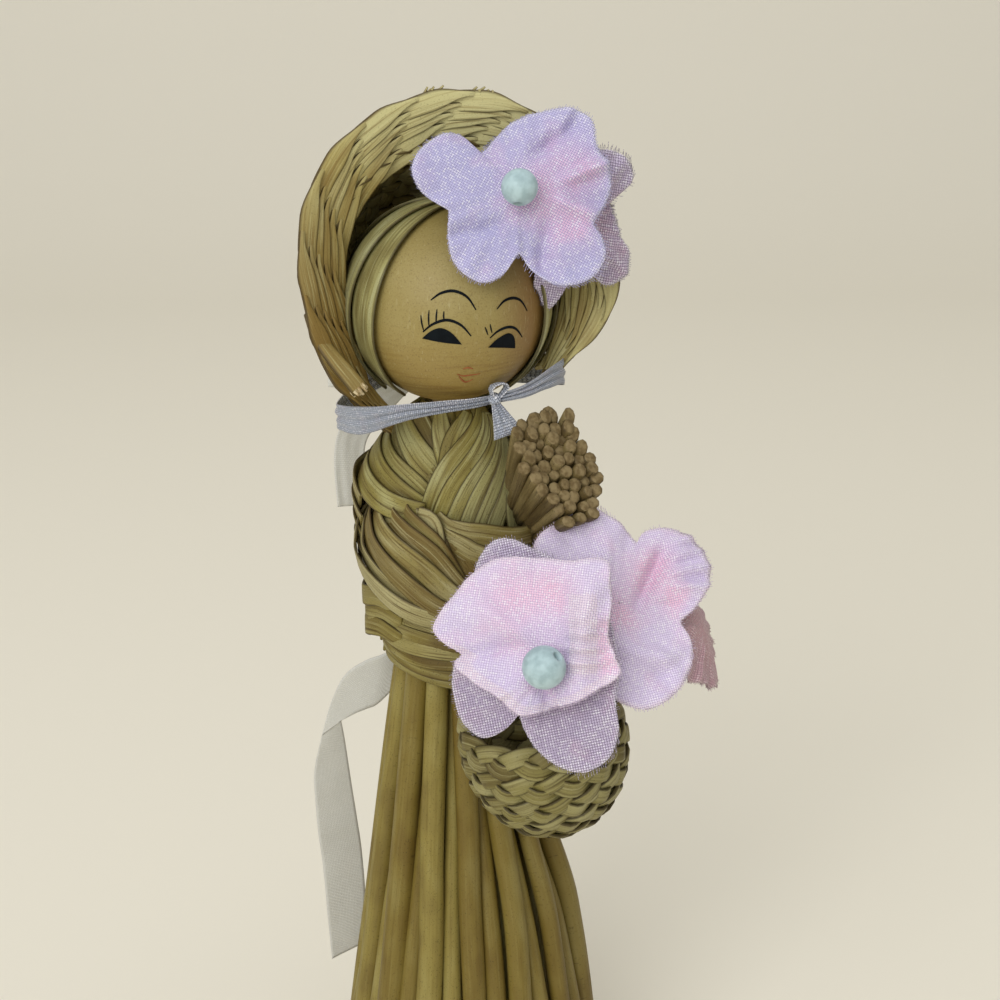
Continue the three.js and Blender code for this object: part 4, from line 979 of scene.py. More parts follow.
def fray(mesh, turn):  # a torn fibre on the brim's outer edge
    run = math.radians(brim["rightEnd"] + turn + brim["fraySpan"] * (dice.random() - 0.5)) * brimMean
    low = brimPoint(run - 0.8, brim["frayRoot"], 0.3)
    high = brimPoint(run + dice.random(), brim["frayTip"] + brim["frayLong"] * dice.random(), 0.2 + dice.random())
    stem(mesh, straight(low, high, 3), [Vector((0, -1, 0.3))] * 4, lambda s: blend(0.7, 0.3, s), 0.2, 0.95, 4)


# a strand's torn end above the ribbon, with pale fibres
torn = {
    "route": [
        (-25.2, -2.6, -0.5), (-24.6, -6.0, -3.2), (-22.4, -8.5, -6.6), (-20.2, -9.6, -9.6), (-18.5, -10.1, -12.0),
    ],
    # painted shade darkens the torn end
    "facing": (0.62, -0.78, 0.1), "width": 3.9, "thick": 0.9, "tint": 0.35, "paintedLight": -0.8, "steps": 12,
    "fibres": 22, "wide": 3.3, "deep": 0.7, "inside": 0.8, "short": 0.9, "long": 1.6, "curl": 0.5,
}


def tornEnd(mesh):
    facing = Vector(torn["facing"])
    path = [Vector(through(torn["route"], s)) for s in shares(torn["steps"])]

    def width(s):
        return torn["width"] * blend(0.8, 1.0, s)

    stem(mesh, path, [facing] * len(path), width, torn["thick"], torn["tint"], 10, 0.8, 0.0, torn["paintedLight"])
    ahead = (path[-1] - path[-2]).normalized()
    wide = ahead.cross(facing).normalized()
    for _ in range(torn["fibres"]):
        low = path[-1] + wide * (torn["wide"] * (dice.random() - 0.5)) + facing * (torn["deep"] * (dice.random() - 0.4))
        low = low - ahead * torn["inside"]
        high = low + ahead * blend(torn["short"], torn["long"], dice.random()) + facing * (torn["curl"] * dice.random())
        fibre = stem(mesh, straight(low, high, 2), [facing] * 3, lambda s: blend(0.75, 0.45, s), 0.5, 0.9, 4)
        for patch in {patch for vert in fibre for patch in vert.link_faces}:
            patch.material_index = 1


for strand in range(3):
    mesh = newMesh()
    for number, (offset, width) in enumerate(brim["stems"]):
        brimStem(mesh, strand, number, offset, width * blend(0.95, 1.08, dice.random()), 0.8 * dice.random())
    if strand == 0:
        for turn in brim["frays"]:
            for _ in range(brim["fibres"]):
                fray(mesh, turn)
        tornEnd(mesh)
    node = f"bonnet_brim_strand_{strand + 1}"
    plaitPiece = finishPiece(f"brim_plait_{strand + 1}", mesh, plaitRush, "head", [node], "pale_rush", inHead=True)
    plaitPiece.data.materials.append(fibreRush)
print("brim done")

# crown: rows of a narrow plait coiled round the back of the head, open at the neck
crown = {
    "reach": 20.9, "stretch": 1.128, "back": 3.1, "rise": 2.5, "neck": -12.5, "rows": 8, "first": 7.0, "last": 96.0,
    "flare": 2.4, "flareSpan": (72, 26),
    "period": 11.0, "swing": 1.35, "dip": 0.5, "stemWidth": 3.9, "stemThick": 0.8, "steps": 12, "sides": 8,
}
mesh = newMesh()
for row in range(crown["rows"]):
    polar = math.radians(blend(crown["first"], crown["last"], row / (crown["rows"] - 1)))
    ring = crown["reach"] * math.sin(polar)
    limit = (crown["neck"] - crown["rise"]) / (crown["stretch"] * ring)
    half = math.pi if limit <= -1 else math.acos(limit)

    def crownPoint(run, across, depth, polar=polar, half=half, ring=ring):
        tip = polar + across / crown["reach"]
        turn = -half + run / ring
        flare = crown["flare"] * rising(math.degrees(tip), crown["flareSpan"])
        r = crown["reach"] + depth + flare
        return Vector((
            r * math.sin(tip) * math.sin(turn),
            crown["back"] + r * math.cos(tip),
            crown["rise"] + crown["stretch"] * r * math.sin(tip) * math.cos(turn),
        ))

    for strand in range(3):
        plaitStem(mesh, crownPoint, 2 * half * ring, crown, strand, dice.random(), limit <= -1)
finishPiece("crown_plait", mesh, plaitRush, "head", ["bonnet_crown"], "pale_rush", inHead=True)
print("crown done")

# basket: plaited rows round a bowl
basket = {
    "place": (15.87, -24.44, 108.0), "turn": 33.0, "roll": 13.0, "reach": 14.2, "depth": 17.6,
    "rows": 7, "first": 8.0, "last": 106.0, "start": 0.7,
    "period": 17.0, "swing": 1.6, "dip": 0.72, "stemWidth": 3.2, "stemThick": 0.75, "steps": 18, "sides": 12,
}
basketPlace = (
    Matrix.Translation(basket["place"]) @ Matrix.Rotation(math.radians(basket["turn"]), 4, "Z")
    @ Matrix.Rotation(math.radians(-basket["roll"]), 4, "Y")
)
mesh = newMesh()
for row in range(basket["rows"]):
    polar = math.radians(blend(basket["first"], basket["last"], row / (basket["rows"] - 1)))
    ring = basket["reach"] * math.sin(polar)

    def basketPoint(run, across, depth, polar=polar, ring=ring):
        tip = polar + across / basket["depth"]
        turn = run / ring + basket["start"]
        return basketPlace @ Vector((
            (basket["reach"] + depth) * math.sin(tip) * math.cos(turn),
            (basket["reach"] + depth) * math.sin(tip) * math.sin(turn),
            -(basket["depth"] + depth) * math.cos(tip),
        ))

    length = 2 * math.pi * ring
    for strand in range(3):
        plaitStem(mesh, basketPoint, length, basket, strand, dice.random(), length > basket["period"])
finishPiece("basket_plait", mesh, basketRush, "body", ["basket"], "pale_rush")
print("basket done")

# ribbons, flat straps along their routes
ribbon = {
    "width": 7.0, "thick": 0.2, "across": 14, "step": 0.8, "ripple": 0.3, "pleats": 9, "drift": 2.5, "slack": 1.05,
    "knotTurns": 3, "knotSteps": 24, "knotForm": (0.3, 0.36, 0.25), "knotWide": 0.62, "knotThick": 0.26,
}


def across(u, s):  # 0 in the middle of a strap, 1 at its edges
    return abs(2 * u - 1)


def strap(mesh, points, wides, narrow, pleat, tint):  # narrow is the share of the full width along the route
    rough = [Vector(through(points, s)) for s in shares(100)]
    length = sum((b - a).length for a, b in zip(rough, rough[1:]))
    steps = max(10, round(length / ribbon["step"]))
    frames = []
    for s in shares(steps):
        ahead = (Vector(through(points, min(s + 0.01, 1))) - Vector(through(points, max(s - 0.01, 0)))).normalized()
        wide = Vector(through(wides, s))
        wide = (wide - ahead * wide.dot(ahead)).normalized()
        frames.append((Vector(through(points, s)), wide, ahead.cross(wide)))
    narrow = [(share,) for share in narrow]

    def place(u, s):
        spot, wide, face = frames[round(s * steps)]
        part = 2 * u - 1
        flat = part * ribbon["width"] / 2
        share = through(narrow, s)[0]
        wave = math.sin(part * ribbon["pleats"] + ribbon["drift"] * s)
        fold = pleat * (ribbon["slack"] - share) * wave * (1 - abs(part) ** 3)
        fold += ribbon["ripple"] * noise.noise(Vector((part * 1.5, s * length / 6, tint * 40)))
        return spot + wide * (part * share * ribbon["width"] / 2) + face * fold, (flat, s * length)

    shapeGrid(mesh, ribbon["across"], steps, place, {"tint": tint, "reach": across})


def knot(mesh, place, size):  # loops of ribbon drawn tight round each other
    for k in range(ribbon["knotTurns"]):
        tip = Matrix.Rotation(k * 1.1 + 0.4, 3, "Y") @ Matrix.Rotation(0.5 * k, 3, "X")
        x, y, z = ribbon["knotForm"]
        turns = [2 * math.pi * row / ribbon["knotSteps"] for row in range(ribbon["knotSteps"] + 1)]
        loop = [tip @ Vector((math.cos(a) * size * x, math.sin(a) * size * y, z * math.sin(2 * a + k))) for a in turns]
        path, faces = [Vector(place) + spot for spot in loop], [spot.normalized() for spot in loop]
        stem(mesh, path, faces, size * ribbon["knotWide"], size * ribbon["knotThick"], dice.random())


def strapPiece(name, mesh, material, body, node, slot):
    piece = finishPiece(name, mesh, material, body, [node], slot, body == "head", fill=False)
    thicken(piece, ribbon["thick"])


upright = (0, 0, 1)
chin = {
    "right": [
        (4.3, -11.3, -15.4), (0.2, -12.7, -15.4), (-5.3, -13.1, -15.5), (-10.4, -12.6, -15.9),
        (-14.6, -11.8, -16.6), (-17.0, -10.8, -17.2), (-19.2, -9.3, -17.6), (-20.8, -5.8, -18.0),
        (-20.4, 0.5, -18.4), (-11.4, 11.4, -15.7), (-2.0, 16.2, -15.7),
    ],
    "rightShare": [0.2, 0.24, 0.3, 0.4, 0.52, 0.64, 0.7, 0.66, 0.6, 0.6, 0.5],
    "left": [
        (5.9, -11.7, -15.1), (8.0, -13.7, -14.1), (10.7, -13.9, -13.3), (13.8, -12.7, -12.4), (16.7, -10.5, -12.0),
        (19.2, -6.5, -12.6), (20.4, 1.0, -14.6), (11.4, 11.4, -15.7), (2.0, 16.2, -15.7),
    ],
    "leftShare": [0.2, 0.26, 0.36, 0.46, 0.56, 0.64, 0.7, 0.7, 0.5],
    "knot": (4.9, -11.9, -15.2), "knotSize": 2.3,
    "loop": [(4.6, -12.0, -15.0), (4.0, -12.8, -12.9), (5.6, -12.9, -12.1), (6.8, -12.6, -12.9), (5.4, -11.9, -15.0)],
    "loopShare": [0.16, 0.24, 0.26, 0.24, 0.16],
    "loopWide": (0.2, -0.9, 0.1),
    "tail": [(4.9, -12.6, -15.9), (5.4, -14.6, -17.9), (6.2, -15.9, -20.7)], "tailShare": [0.22, 0.5, 0.86],
    "tailWide": (-0.93, -0.3, -0.25),
}
for side in ("right", "left"):
    mesh = newMesh()
    strap(mesh, chin[side], [upright] * len(chin[side]), chin[side + "Share"], 0.5, dice.random())
    strapPiece(f"chin_band_{side}", mesh, ribbonCloth, "head", f"chin_ribbon_{side}", "lilac_ribbon")

mesh = newMesh()
knot(mesh, chin["knot"], chin["knotSize"])
for part, pleat, tint in (("loop", 0.2, 0.7), ("tail", 0.4, 0.4)):
    strap(mesh, chin[part], [chin[part + "Wide"]] * len(chin[part]), chin[part + "Share"], pleat, tint)
strapPiece("chin_knot_tail", mesh, ribbonCloth, "head", "chin_knot", "lilac_ribbon")

bow = {
    "knot": (0, 17.87, -15.7), "size": 3.4,
    "loop": [(2, 18.6, -15.7), (11.4, 21.3, -15.7), (19, 19.2, -15.7), (11.4, 17, -15.7), (2, 17.1, -15.7)],
    "loopShare": [0.3, 0.8, 0.85, 0.8, 0.3],
    "tail": [(1.4, 17.9, -17.7), (8.3, 22.1, -22.9), (14.6, 23, -30.7), (15.3, 21.3, -43.7)],
    "tailWide": [(1, 0, 0), (1, 0, 0.6), (1, 0, 0.3), (1, 0, 0)], "tailShare": [0.25, 0.8, 0.85, 0.85],
}
mesh = newMesh()
knot(mesh, bow["knot"], bow["size"])
strapPiece("nape_knot", mesh, sashCloth, "head", "bow_knot", "pale_ribbon")
for name, side in (("right", -1), ("left", 1)):
    for part, wides in (("loop", [upright] * 5), ("tail", bow["tailWide"])):
        mesh = newMesh()
        route, wides = ([(side * x, y, z) for x, y, z in rows] for rows in (bow[part], wides))
        strap(mesh, route, wides, bow[part + "Share"], 0.3, dice.random())
        strapPiece(f"nape_{part}_{name}", mesh, sashCloth, "head", f"bow_{part}_{name}", "pale_ribbon")

# sash: the long tail is folded over once, each part lies between its two edges
sash = {
    "knot": (0, 16.03, 115.5), "size": 3.4,
    "upper": (
        [(-1.5, 16, 117.5), (-6, 14.8, 115.5), (-10.5, 13, 112.3), (-14.5, 12.2, 108.6), (-19, 12.3, 106.6),
         (-23.2, 12.6, 103.4), (-26.3, 12.9, 97.2), (-28.6, 13.2, 89.5)],
        [(-1.8, 16.3, 113.5), (-5.5, 15.2, 110.5), (-10, 13.6, 104), (-16.3, 12.6, 97.3), (-19, 12.6, 95.8),
         (-21, 12.7, 94.9), (-22.8, 12.8, 93.9), (-24.5, 12.8, 92.9)],
    ),
    "lower": (
        [(-28.6, 13.4, 89.5), (-30.4, 13.8, 82.4), (-30.9, 14, 77.6), (-30.7, 14.2, 66.7), (-30.1, 14.4, 56.9),
         (-29.7, 14.7, 44), (-29.4, 15, 33.8)],
        [(-24.5, 13.2, 92.9), (-24, 15, 86.1), (-23.4, 16, 77.2), (-22.7, 16.6, 69.1), (-22, 16.8, 60.6),
         (-21.7, 16.9, 48.9), (-22.7, 17, 36.5)],
    ),
    "short": [(2.3, 16, 115.5), (5.4, 16, 111.3), (6.5, 17.7, 95.5), (6.8, 21.1, 75.5)],
    "shortWide": [(0, 0, 1), (0.7, 0, 0.7), (1, 0, 0), (1, 0, 0)], "shortShare": [0.3, 0.9, 1.0, 1.0],
    "upperLong": 42.0, "lowerLong": 58.0, "steps": 60, "ripple": 0.3, "rippleLong": 7,
}
mesh = newMesh()
knot(mesh, sash["knot"], sash["size"])
strapPiece("sash_tie", mesh, sashCloth, "body", "sash_knot", "pale_ribbon")
mesh = newMesh()
for part in ("upper", "lower"):
    def between(u, s, part=part):
        first, second = Vector(through(sash[part][0], s)), Vector(through(sash[part][1], s))
        spot = first.lerp(second, u)
        spot.y += sash["ripple"] * noise.noise(spot / sash["rippleLong"])
        return spot, (u * ribbon["width"], s * sash[part + "Long"])
    shapeGrid(mesh, ribbon["across"], sash["steps"], between, {"tint": 0.5, "reach": across})
strapPiece("sash_long", mesh, sashCloth, "body", "sash_tail_right", "pale_ribbon")
mesh = newMesh()
strap(mesh, sash["short"], sash["shortWide"], sash["shortShare"], 0.1, dice.random())
strapPiece("sash_short", mesh, sashCloth, "body", "sash_tail_left", "pale_ribbon")
print("ribbons done")

# cloth blossoms: one cut sheet each, with the cut's reach and lift by angle, and folds pressed across it
beaded = ("bonnet_blossom_front", "basket_blossom_lower", "basket_blossom_upper")
blossom = {
    "hub": 0.6, "closed": 0.05, "rows": 22, "round": 260, "thick": 0.16, "jag": 0.12, "curl": 1.6, "ripple": 0.9,
    "rippleLong": 5, "pleats": 23, "pleat": 0.22,
    "threads": 300, "thread": 0.1, "short": 0.25, "long": 0.5, "loose": 0.7, "uneven": 0.6, "root": 0.96,
}
flowers = {
    "bonnet_blossom_front": {
        "body": "head", "place": (8.15, -15.82, 20.83), "face": (-0.201, -0.932, 0.301),
        "wire": "bonnet_front_wire", "weave": 34,
        "cloth": lavenderCloth, "slot": "pink_cloth",
        "throat": [(2.0, 0.5, 4.0, 0.8), (12, 2.5, 3.0, 0.9), (9, -6, 4.0, 0.7), (5, -2, 5.0, 0.6), (8, 6, 4.5, 0.5)],
        "loose": (262, 335),
        "cut": [
            (125, 8.9), (128, 13.4), (142, 16.3), (161, 17.8), (172, 16.6), (185, 13.2), (191, 11.9), (204, 13.2),
            (221, 15.6), (234, 16.4), (245, 16), (254, 14), (265, 10.4), (275, 13.4), (286, 16.4), (301, 18.4),
            (314, 18.4), (325, 16.2), (332, 13.6), (353, 15.2), (369, 15.6), (386, 15.4), (399, 17.5), (412, 17),
            (432, 14),
        ],
        "lift": [(15, 0), (55, -3), (90, -4), (120, -3), (160, 0.8), (200, 0.8), (245, 1.4), (300, 1.2), (340, 0)],
        "folds": [
            (11.7, 2.3, 18, 4.5, 1.0, 2.0), (9.5, -3.7, -28, 4.0, 1.2, 1.7), (7.3, 8.5, 34, 5.0, 1.4, -1.9),
            (-7, -5.5, 8, 5.0, 1.1, -1.4), (9.5, 12, 58, 4.0, 1.0, 1.3), (3.5, -9, 75, 5.0, 1.1, -1.5),
            (12, -10, -52, 4.0, 1.0, 1.1),
        ],
    },
    "bonnet_blossom_rear": {
        "body": "head", "place": (19.68, -12.33, 14.84), "face": (0, -0.995, -0.1),
        "wire": "bonnet_rear_wire", "weave": 12,
        "cloth": lilacCloth, "slot": "lilac_cloth", "throat": [(1.0, 0.0, 5.0, 0.9)], "loose": (20, 110),
        "cut": [
            (24, 6.5), (29, 8.4), (32, 11.2), (45, 13.1), (58, 13.3), (70, 12.7), (85, 11), (100, 10.5), (120, 11),
            (140, 11), (160, 11), (180, 10), (200, 9), (222, 9), (232, 12.6), (240, 13.5), (252, 15.5), (262, 11),
            (270, 9), (288, 10.2), (294, 12.1), (310, 13.1), (328, 11.5), (341, 8.2),
        ],
        "lift": [(0, 0), (60, -0.5), (150, 0.4), (235, 0.8), (300, 0.6)],
        "folds": [(7, -7, -50, 4.0, 1.0, 0.8), (6, 8, 55, 4.0, 1.0, 0.7)],
    },
    "basket_blossom_lower": {
        "body": "body", "place": (16.34, -34.51, 127.06), "face": (-0.121, -0.907, 0.403),
        "wire": "basket_front_wire", "weave": -12,
        "cloth": lilacCloth, "slot": "lilac_cloth", "throat": [(0, 2.0, 7.0, 0.8)], "loose": (280, 330),
        "cut": [
            (178, 15.8), (200, 16.9), (216, 17.2), (228, 15.9), (236, 11.9), (238, 9), (240, 9.5), (256, 12.6),
            (271, 15.7), (286, 18.2), (301, 18.3), (314, 16.5), (332, 12.7), (350, 12), (380, 12), (405, 14),
            (430, 17), (445, 18), (457, 20), (464, 22), (472, 23), (480, 22), (488, 20), (500, 15), (515, 12),
            (528, 13),
        ],
        "lift": [(0, 0.5), (60, 0.8), (110, 0.5), (160, 0), (210, -0.6), (260, 0.6), (295, 1.2), (330, 0.8)],
        "folds": [(6, -11, 60, 5.0, 1.6, 0.7), (-10, -7, 40, 5.0, 1.5, 0.6)],
    },
    "basket_blossom_upper": {
        "body": "body", "place": (16.05, -36.69, 128.03), "face": (-0.121, -0.907, 0.403),
        "wire": "basket_front_wire", "weave": 8,
        "cloth": pinkCloth, "slot": "pink_cloth",
        "throat": [
            (-6, 11.5, 4.5, 0.8), (1, 12.5, 4.5, 0.8), (10.5, 1, 2.6, 1.0), (10.8, 6, 2.6, 1.0), (-1, 1, 4.0, 0.5),
        ],
        "hem": (166, 352, 0.17), "roll": (-3.0, 14.0, 2.6, 9.6), "loose": (0, 0),
        "cut": [
            (7, 11.6), (29, 11.9), (51, 17.4), (59, 20.3), (76, 18), (96, 18.2), (117, 19.9), (141, 19.6),
            (158, 20), (162, 19.7), (166, 17.8), (171, 14.5), (177, 15.4), (190, 12.5), (209, 9.4), (240, 8.9),
            (265, 7.2), (290, 6.7), (335, 9.1), (354, 12.2),
        ],
        "lift": [
            (0, 1.0), (30, 1.2), (60, 2.0), (95, 1.2), (135, 0.6), (160, 1.4), (200, 2.4), (250, 2.8), (300, 3.0),
            (335, 2.2),
        ],
        "folds": [
            (6.4, 6, 84, 9.5, 2.9, 3.6), (6.2, 0.5, -4, 3.2, 0.6, 1.2), (6.4, 2.9, -4, 3.2, 0.6, 1.2),
            (6.6, 5.3, -4, 3.2, 0.6, 1.2), (6.8, 7.7, -4, 3.2, 0.6, 0.7), (-8, 8, -35, 7.0, 2.6, 1.8),
            (-6, -4, 20, 5.0, 1.6, 1.3), (0, -5, -60, 3.0, 1.0, -1.3), (-10, 2.5, 12, 6.0, 1.3, -1.5),
        ],
    },
    "basket_blossom_side": {
        "body": "body", "place": (28.89, -22.42, 132.96), "face": (0.153, -0.814, 0.56),
        "wire": "basket_side_wire", "weave": -14,
        "cloth": pinkCloth, "slot": "pink_cloth",
        "throat": [(5.2, 4.5, 3.6, 1.0), (7.5, 8, 3.0, 0.9), (-1, -1, 4.0, 0.8), (10, 1.5, 2.5, 0.7)],
        "loose": (90, 130),
        "cut": [
            (17, 17.6), (34, 19.1), (50, 18.1), (62, 16), (69, 14), (71, 12), (89, 15), (102, 17.5), (115, 18.7),
            (123, 17.6), (140, 18.2), (151, 17), (160, 14), (180, 11), (210, 11), (240, 13), (255, 15), (267, 17),
            (282, 18.8), (302, 18), (318, 16.5), (331, 14.8), (345, 11.5), (357, 13.5),
        ],
        "lift": [
            (10, 0), (40, -1.5), (80, 0), (110, 0.6), (150, 0.6), (210, 0.5), (270, 1.2), (300, 1.4), (335, 0.4),
        ],
        "folds": [
            (12.6, 12.2, 20, 3.6, 0.75, 1.3), (13, 9.5, 12, 4.0, 0.75, 1.6), (13.5, 6.5, 8, 4.0, 0.75, 1.7),
            (13.5, 3.5, 2, 4.0, 0.75, 1.5), (6, 4.5, 62, 6.0, 1.4, -2.8), (9, 0, 10, 5.5, 1.2, -0.5),
            (5, -9, -12, 6.0, 1.7, 1.5), (9, -11, 30, 4.5, 1.2, -1.0), (-2, 9, 80, 5.0, 1.6, 1.3),
        ],
    },
    "basket_blossom_rear": {
        "body": "body", "place": (43.93, -15.45, 125.05), "face": (0.844, -0.298, 0.447),
        "wire": "basket_rear_wire", "weave": 0,
        "cloth": roseCloth, "slot": "lilac_cloth", "throat": [(0, 0, 6.0, 0.8)], "loose": (0, 0),
        "cut": [
            (0, 10.5), (36, 11.5), (72, 10.2), (108, 11.2), (144, 10), (180, 11), (216, 10.2), (252, 11.5),
            (288, 10.2), (324, 11.2),
        ],
        "lift": [(0, -2.0), (90, -2.0), (180, -1.6), (270, -1.2)],
        "folds": [(0, -7, 90, 4.0, 1.0, 0.8), (-6, -3, 20, 4.0, 1.0, 0.8)],
    },
}


def around(rows, angle):  # smooth closed curve through angle and value
    count = len(rows)
    angle = (angle - rows[0][0]) % 360 + rows[0][0]
    i = max(k for k in range(count) if rows[k][0] <= angle + 1e-9)

    def row(k):
        turn, index = divmod(k, count)
        return rows[index][0] + 360 * turn, rows[index][1]

    (angleA, a), (angleB, b), before, after = row(i), row(i + 1), row(i - 1), row(i + 2)
    gap = angleB - angleA
    t = (angle - angleA) / gap
    rise = (b - before[1]) / (angleB - before[0]) * gap
    fall = (after[1] - a) / (after[0] - angleA) * gap
    leave, arrive = (2 * t ** 3 - 3 * t * t + 1) * a, (t ** 3 - 2 * t * t + t) * rise
    return leave + arrive + (3 * t * t - 2 * t ** 3) * b + (t ** 3 - t * t) * fall


for name, flower in flowers.items():
    toward = Vector(flower["face"]).normalized()
    sideways = (Vector((1, 0, 0)) - toward * toward.x).normalized()
    upward = toward.cross(sideways)
    seed = len(name) + flower["place"][0]
    inHead = flower["body"] == "head"

    def petalPoint(angle, share, jag=0.0):
        a = math.radians(angle)
        hub, rise = (blossom["hub"], 0.0) if name in beaded else (blossom["closed"], 1.0 - share)
        r = blend(hub, around(flower["cut"], angle) + jag, share)
        x, y = r * math.cos(a), r * math.sin(a)
        lift = around(flower["lift"], angle) * share ** blossom["curl"] + rise
        for middleX, middleY, turn, long, wide, high in flower["folds"]:
            turn = math.radians(turn)
            far = (x - middleX) * math.cos(turn) + (y - middleY) * math.sin(turn)
            near = (y - middleY) * math.cos(turn) - (x - middleX) * math.sin(turn)
            lift += high * math.exp(-(near / wide) ** 2 - (far / long) ** 4)
        ripple = Vector((x / blossom["rippleLong"], y / blossom["rippleLong"], seed))
        lift += blossom["ripple"] * share * noise.noise(ripple)
        lift += blossom["pleat"] * share * share * math.sin(a * blossom["pleats"] + seed)
        return Vector(flower["place"]) + sideways * x + upward * y + toward * lift, (x, y)

    weave = Matrix.Rotation(math.radians(flower["weave"]), 2)

    def place(u, s):
        jag = blossom["jag"] * noise.noise(Vector((u * 700, seed, 3))) if s > 0.99 else 0.0
        spot, flat = petalPoint(360 * u, s, jag)
        return spot, weave @ Vector(flat)

    def blush(u, s):
        x, y = petalPoint(360 * u, s)[1]
        return min(1.0, sum(
            most * math.exp(-((x - a) ** 2 + (y - b) ** 2) / size ** 2) for a, b, size, most in flower["throat"]))

    def reach(u, s):  # a turned-back hem shows as a wide pale rim
        start, end, more = flower.get("hem", (0, 0, 0))
        low, high, left, right = flower.get("roll", (0, 0, 0, 0))
        x, y = petalPoint(360 * u, s)[1]
        inside = ease((x - left) / 1.5) * ease((right - x) / 1.0) * ease((y - low) / 2) * ease((high - y) / 2)
        return max(s + more if start < 360 * u < end else s, 0.99 * inside)

    mesh = newMesh()
    shapeGrid(mesh, blossom["round"], blossom["rows"], place, {"reach": reach, "blush": blush})
    area = sum(patch.calc_area() for patch in mesh.faces)
    rim = [petalPoint(k, 1.0)[1] for k in range(360)]
    cloth, body, slot = flower["cloth"], flower["body"], flower["slot"]
    piece = finishPiece("cloth_" + name, mesh, cloth, body, [name], slot, inHead, fill=False)
    thicken(piece, blossom["thick"])

    mesh = newMesh()  # loose threads at the cut edge, along the weave
    for k in range(blossom["threads"]):
        angle = 360 * (k + blossom["uneven"] * dice.random()) / blossom["threads"]
        tip, (x, y) = petalPoint(angle, 1.0)
        back, _ = petalPoint(angle, blossom["root"])
        warp, weft = weave @ Vector((x, y))
        aim = (math.copysign(1, warp), 0) if abs(warp) > abs(weft) else (0, math.copysign(1, weft))
        aim = weave.transposed() @ Vector(aim)
        ahead = sideways * aim.x + upward * aim.y
        wild = (ahead + toward * (0.8 * dice.random() - 0.4) + sideways * (0.3 * dice.random() - 0.15)).normalized()
        long = blossom["short"] + blossom["long"] * dice.random() ** 2
        if flower["loose"][0] < angle < flower["loose"][1]:
            long = long + blossom["loose"] * dice.random()
        facing, thin = ahead.cross(Vector((0.3, 0.5, 0.8))).normalized(), blossom["thread"]
        stem(mesh, [back, tip, tip + wild * long], [facing] * 3, thin, thin, dice.random(), 3)
    for vert in mesh.verts:
        vert[mesh.verts.layers.float["reach"]] = 1.0
    fringe = finishPiece("fringe_" + name, mesh, cloth, body, (), slot, inHead, fill=False)
print("blossoms done")

# beads on the wires, bored through
beads = {
    "bonnet_bead": {"body": "head", "size": 6.0, "bore": 0.7, "axis": (0.1, 0.5, 0.86)},
    "basket_bead": {"body": "body", "size": 7.2, "bore": 0.8, "axis": (0.62, -0.325, 0.715)},
}
for name, bead in beads.items():
    low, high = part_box(name)
    half = bead["size"] / 2
    mesh = newMesh()
    start = math.asin(bead["bore"] / half)
    turns = [blend(start, math.pi - start, s) for s in shares(30)]
    profile = [mesh.verts.new((half * math.sin(a), 0, half * math.cos(a))) for a in turns]
    profile.append(mesh.verts.new((bead["bore"], 0, 0)))
    edges = [mesh.edges.new(pair) for pair in zip(profile, profile[1:] + profile[:1])]
    bmesh.ops.spin(
        mesh, geom=profile + edges, cent=(0, 0, 0), axis=(0, 0, 1), angle=2 * math.pi, steps=48,
        use_merge=True, use_duplicate=False)
    smoothed(mesh)
    turn = Vector((0, 0, 1)).rotation_difference(Vector(bead["axis"])).to_matrix()
    bmesh.ops.rotate(mesh, cent=(0, 0, 0), matrix=turn, verts=mesh.verts)
    bmesh.ops.translate(mesh, vec=(low + high) / 2 / mm, verts=mesh.verts)
    finishPiece("bored_" + name, mesh, mintBead, bead["body"], [name], "bead", fill=False)

for name in ("bonnet_front_wire", "bonnet_rear_wire", "basket_front_wire", "basket_side_wire", "basket_rear_wire"):
    mesh = newMesh()
    mesh.from_mesh(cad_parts[name].data)
    bmesh.ops.scale(mesh, vec=(1 / mm, 1 / mm, 1 / mm), verts=mesh.verts)
    smoothed(mesh)
    body = "head" if name.startswith("bonnet") else "body"
    finishPiece("wrapped_" + name, mesh, wireWrap, body, [name], "wire", fill=False)
print("beads and wires done")

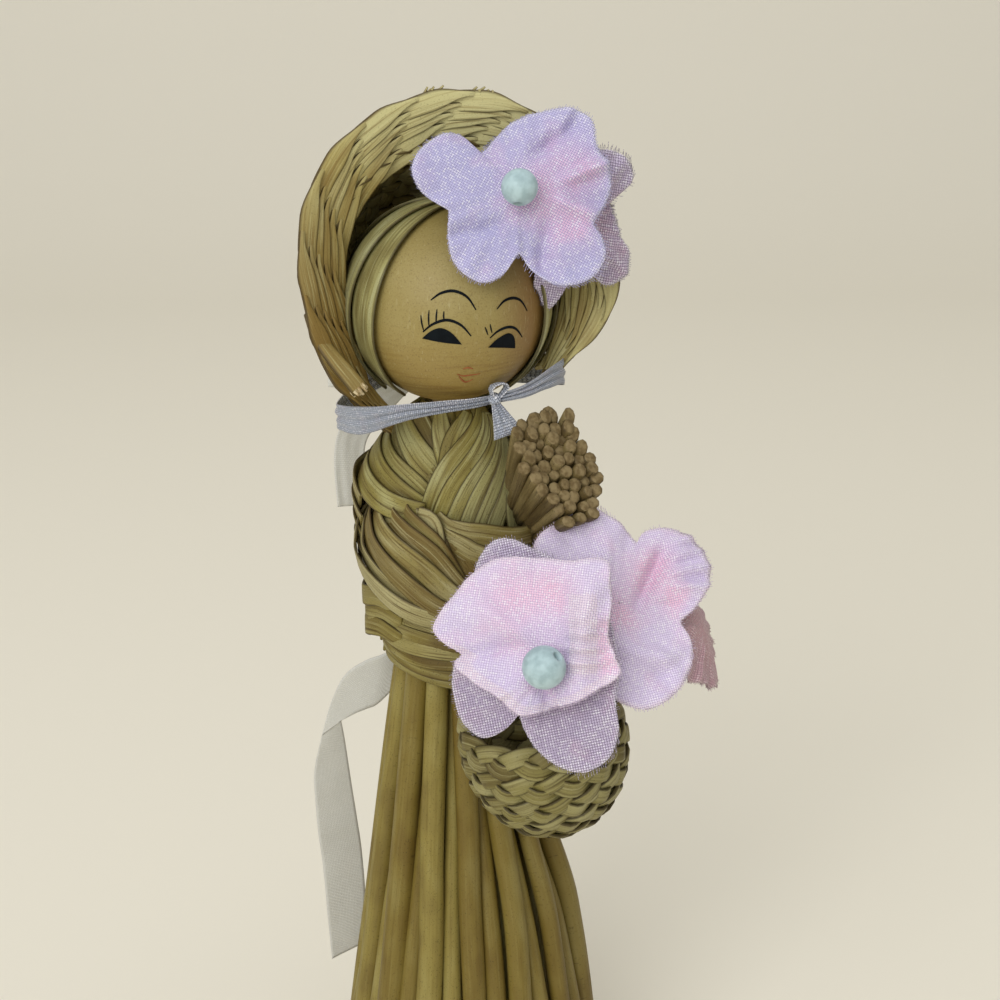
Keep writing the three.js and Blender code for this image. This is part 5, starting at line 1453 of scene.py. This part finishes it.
# stage and light, in metres
stage = {"floor": (240, 235, 220), "half": 3, "near": -2.5, "far": 0.9, "rise": 0.6, "top": 3, "bend": 8, "world": 0.46}
mesh = bmesh.new()
sweep = [math.pi / 2 * k / stage["bend"] for k in range(1, stage["bend"] + 1)]
spots = [(stage["near"], 0), (stage["far"], 0)]
spots += [(stage["far"] + stage["rise"] * math.sin(a), stage["rise"] * (1 - math.cos(a))) for a in sweep]
spots += [(stage["far"] + stage["rise"], stage["top"])]
profile = [mesh.verts.new((-stage["half"], y, z)) for y, z in spots]
edges = [mesh.edges.new(pair) for pair in zip(profile, profile[1:])]
made = [part for part in bmesh.ops.extrude_edge_only(mesh, edges=edges)["geom"] if isinstance(part, bmesh.types.BMVert)]
bmesh.ops.translate(mesh, vec=(2 * stage["half"], 0, 0), verts=made)
smoothed(mesh)
data = bpy.data.meshes.new("paleFloor")
mesh.to_mesh(data)
mesh.free()
floor = bpy.data.objects.new("paleFloor", data)
scene.collection.objects.link(floor)
floor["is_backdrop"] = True
floorPaint, tree, shader = startMaterial("floorPaint")
shader["Base Color"].default_value = tone(*stage["floor"])
shader["Roughness"].default_value = 0.8
data.materials.append(floorPaint)

world = bpy.data.worlds.new("softRoom")
scene.world = world
world.use_nodes = True
background = world.node_tree.nodes["Background"].inputs
background["Color"].default_value = (1.0, 0.99, 0.97, 1.0)
background["Strength"].default_value = stage["world"]
lamps = {
    "key": {"place": (-0.6, -1.5, 1.05), "size": 1.2, "power": 18.0},
    "top": {"place": (0.1, -0.1, 1.5), "size": 1.0, "power": 4.5},
}
for name, lamp in lamps.items():
    light = bpy.data.lights.new(name, "AREA")
    light.size = lamp["size"]
    light.energy = lamp["power"]
    lampObject = bpy.data.objects.new(name, light)
    lampObject.location = lamp["place"]
    aim = Vector((0, 0, 0.12)) - Vector(lamp["place"])
    lampObject.rotation_euler = aim.to_track_quat("-Z", "Y").to_euler()
    scene.collection.objects.link(lampObject)

low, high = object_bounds()
{"cad": [list(cadLow), list(cadHigh)], "visual": [list(low), list(high)]}
print("visual box", [round(v / mm, 1) for v in low], [round(v / mm, 1) for v in high])
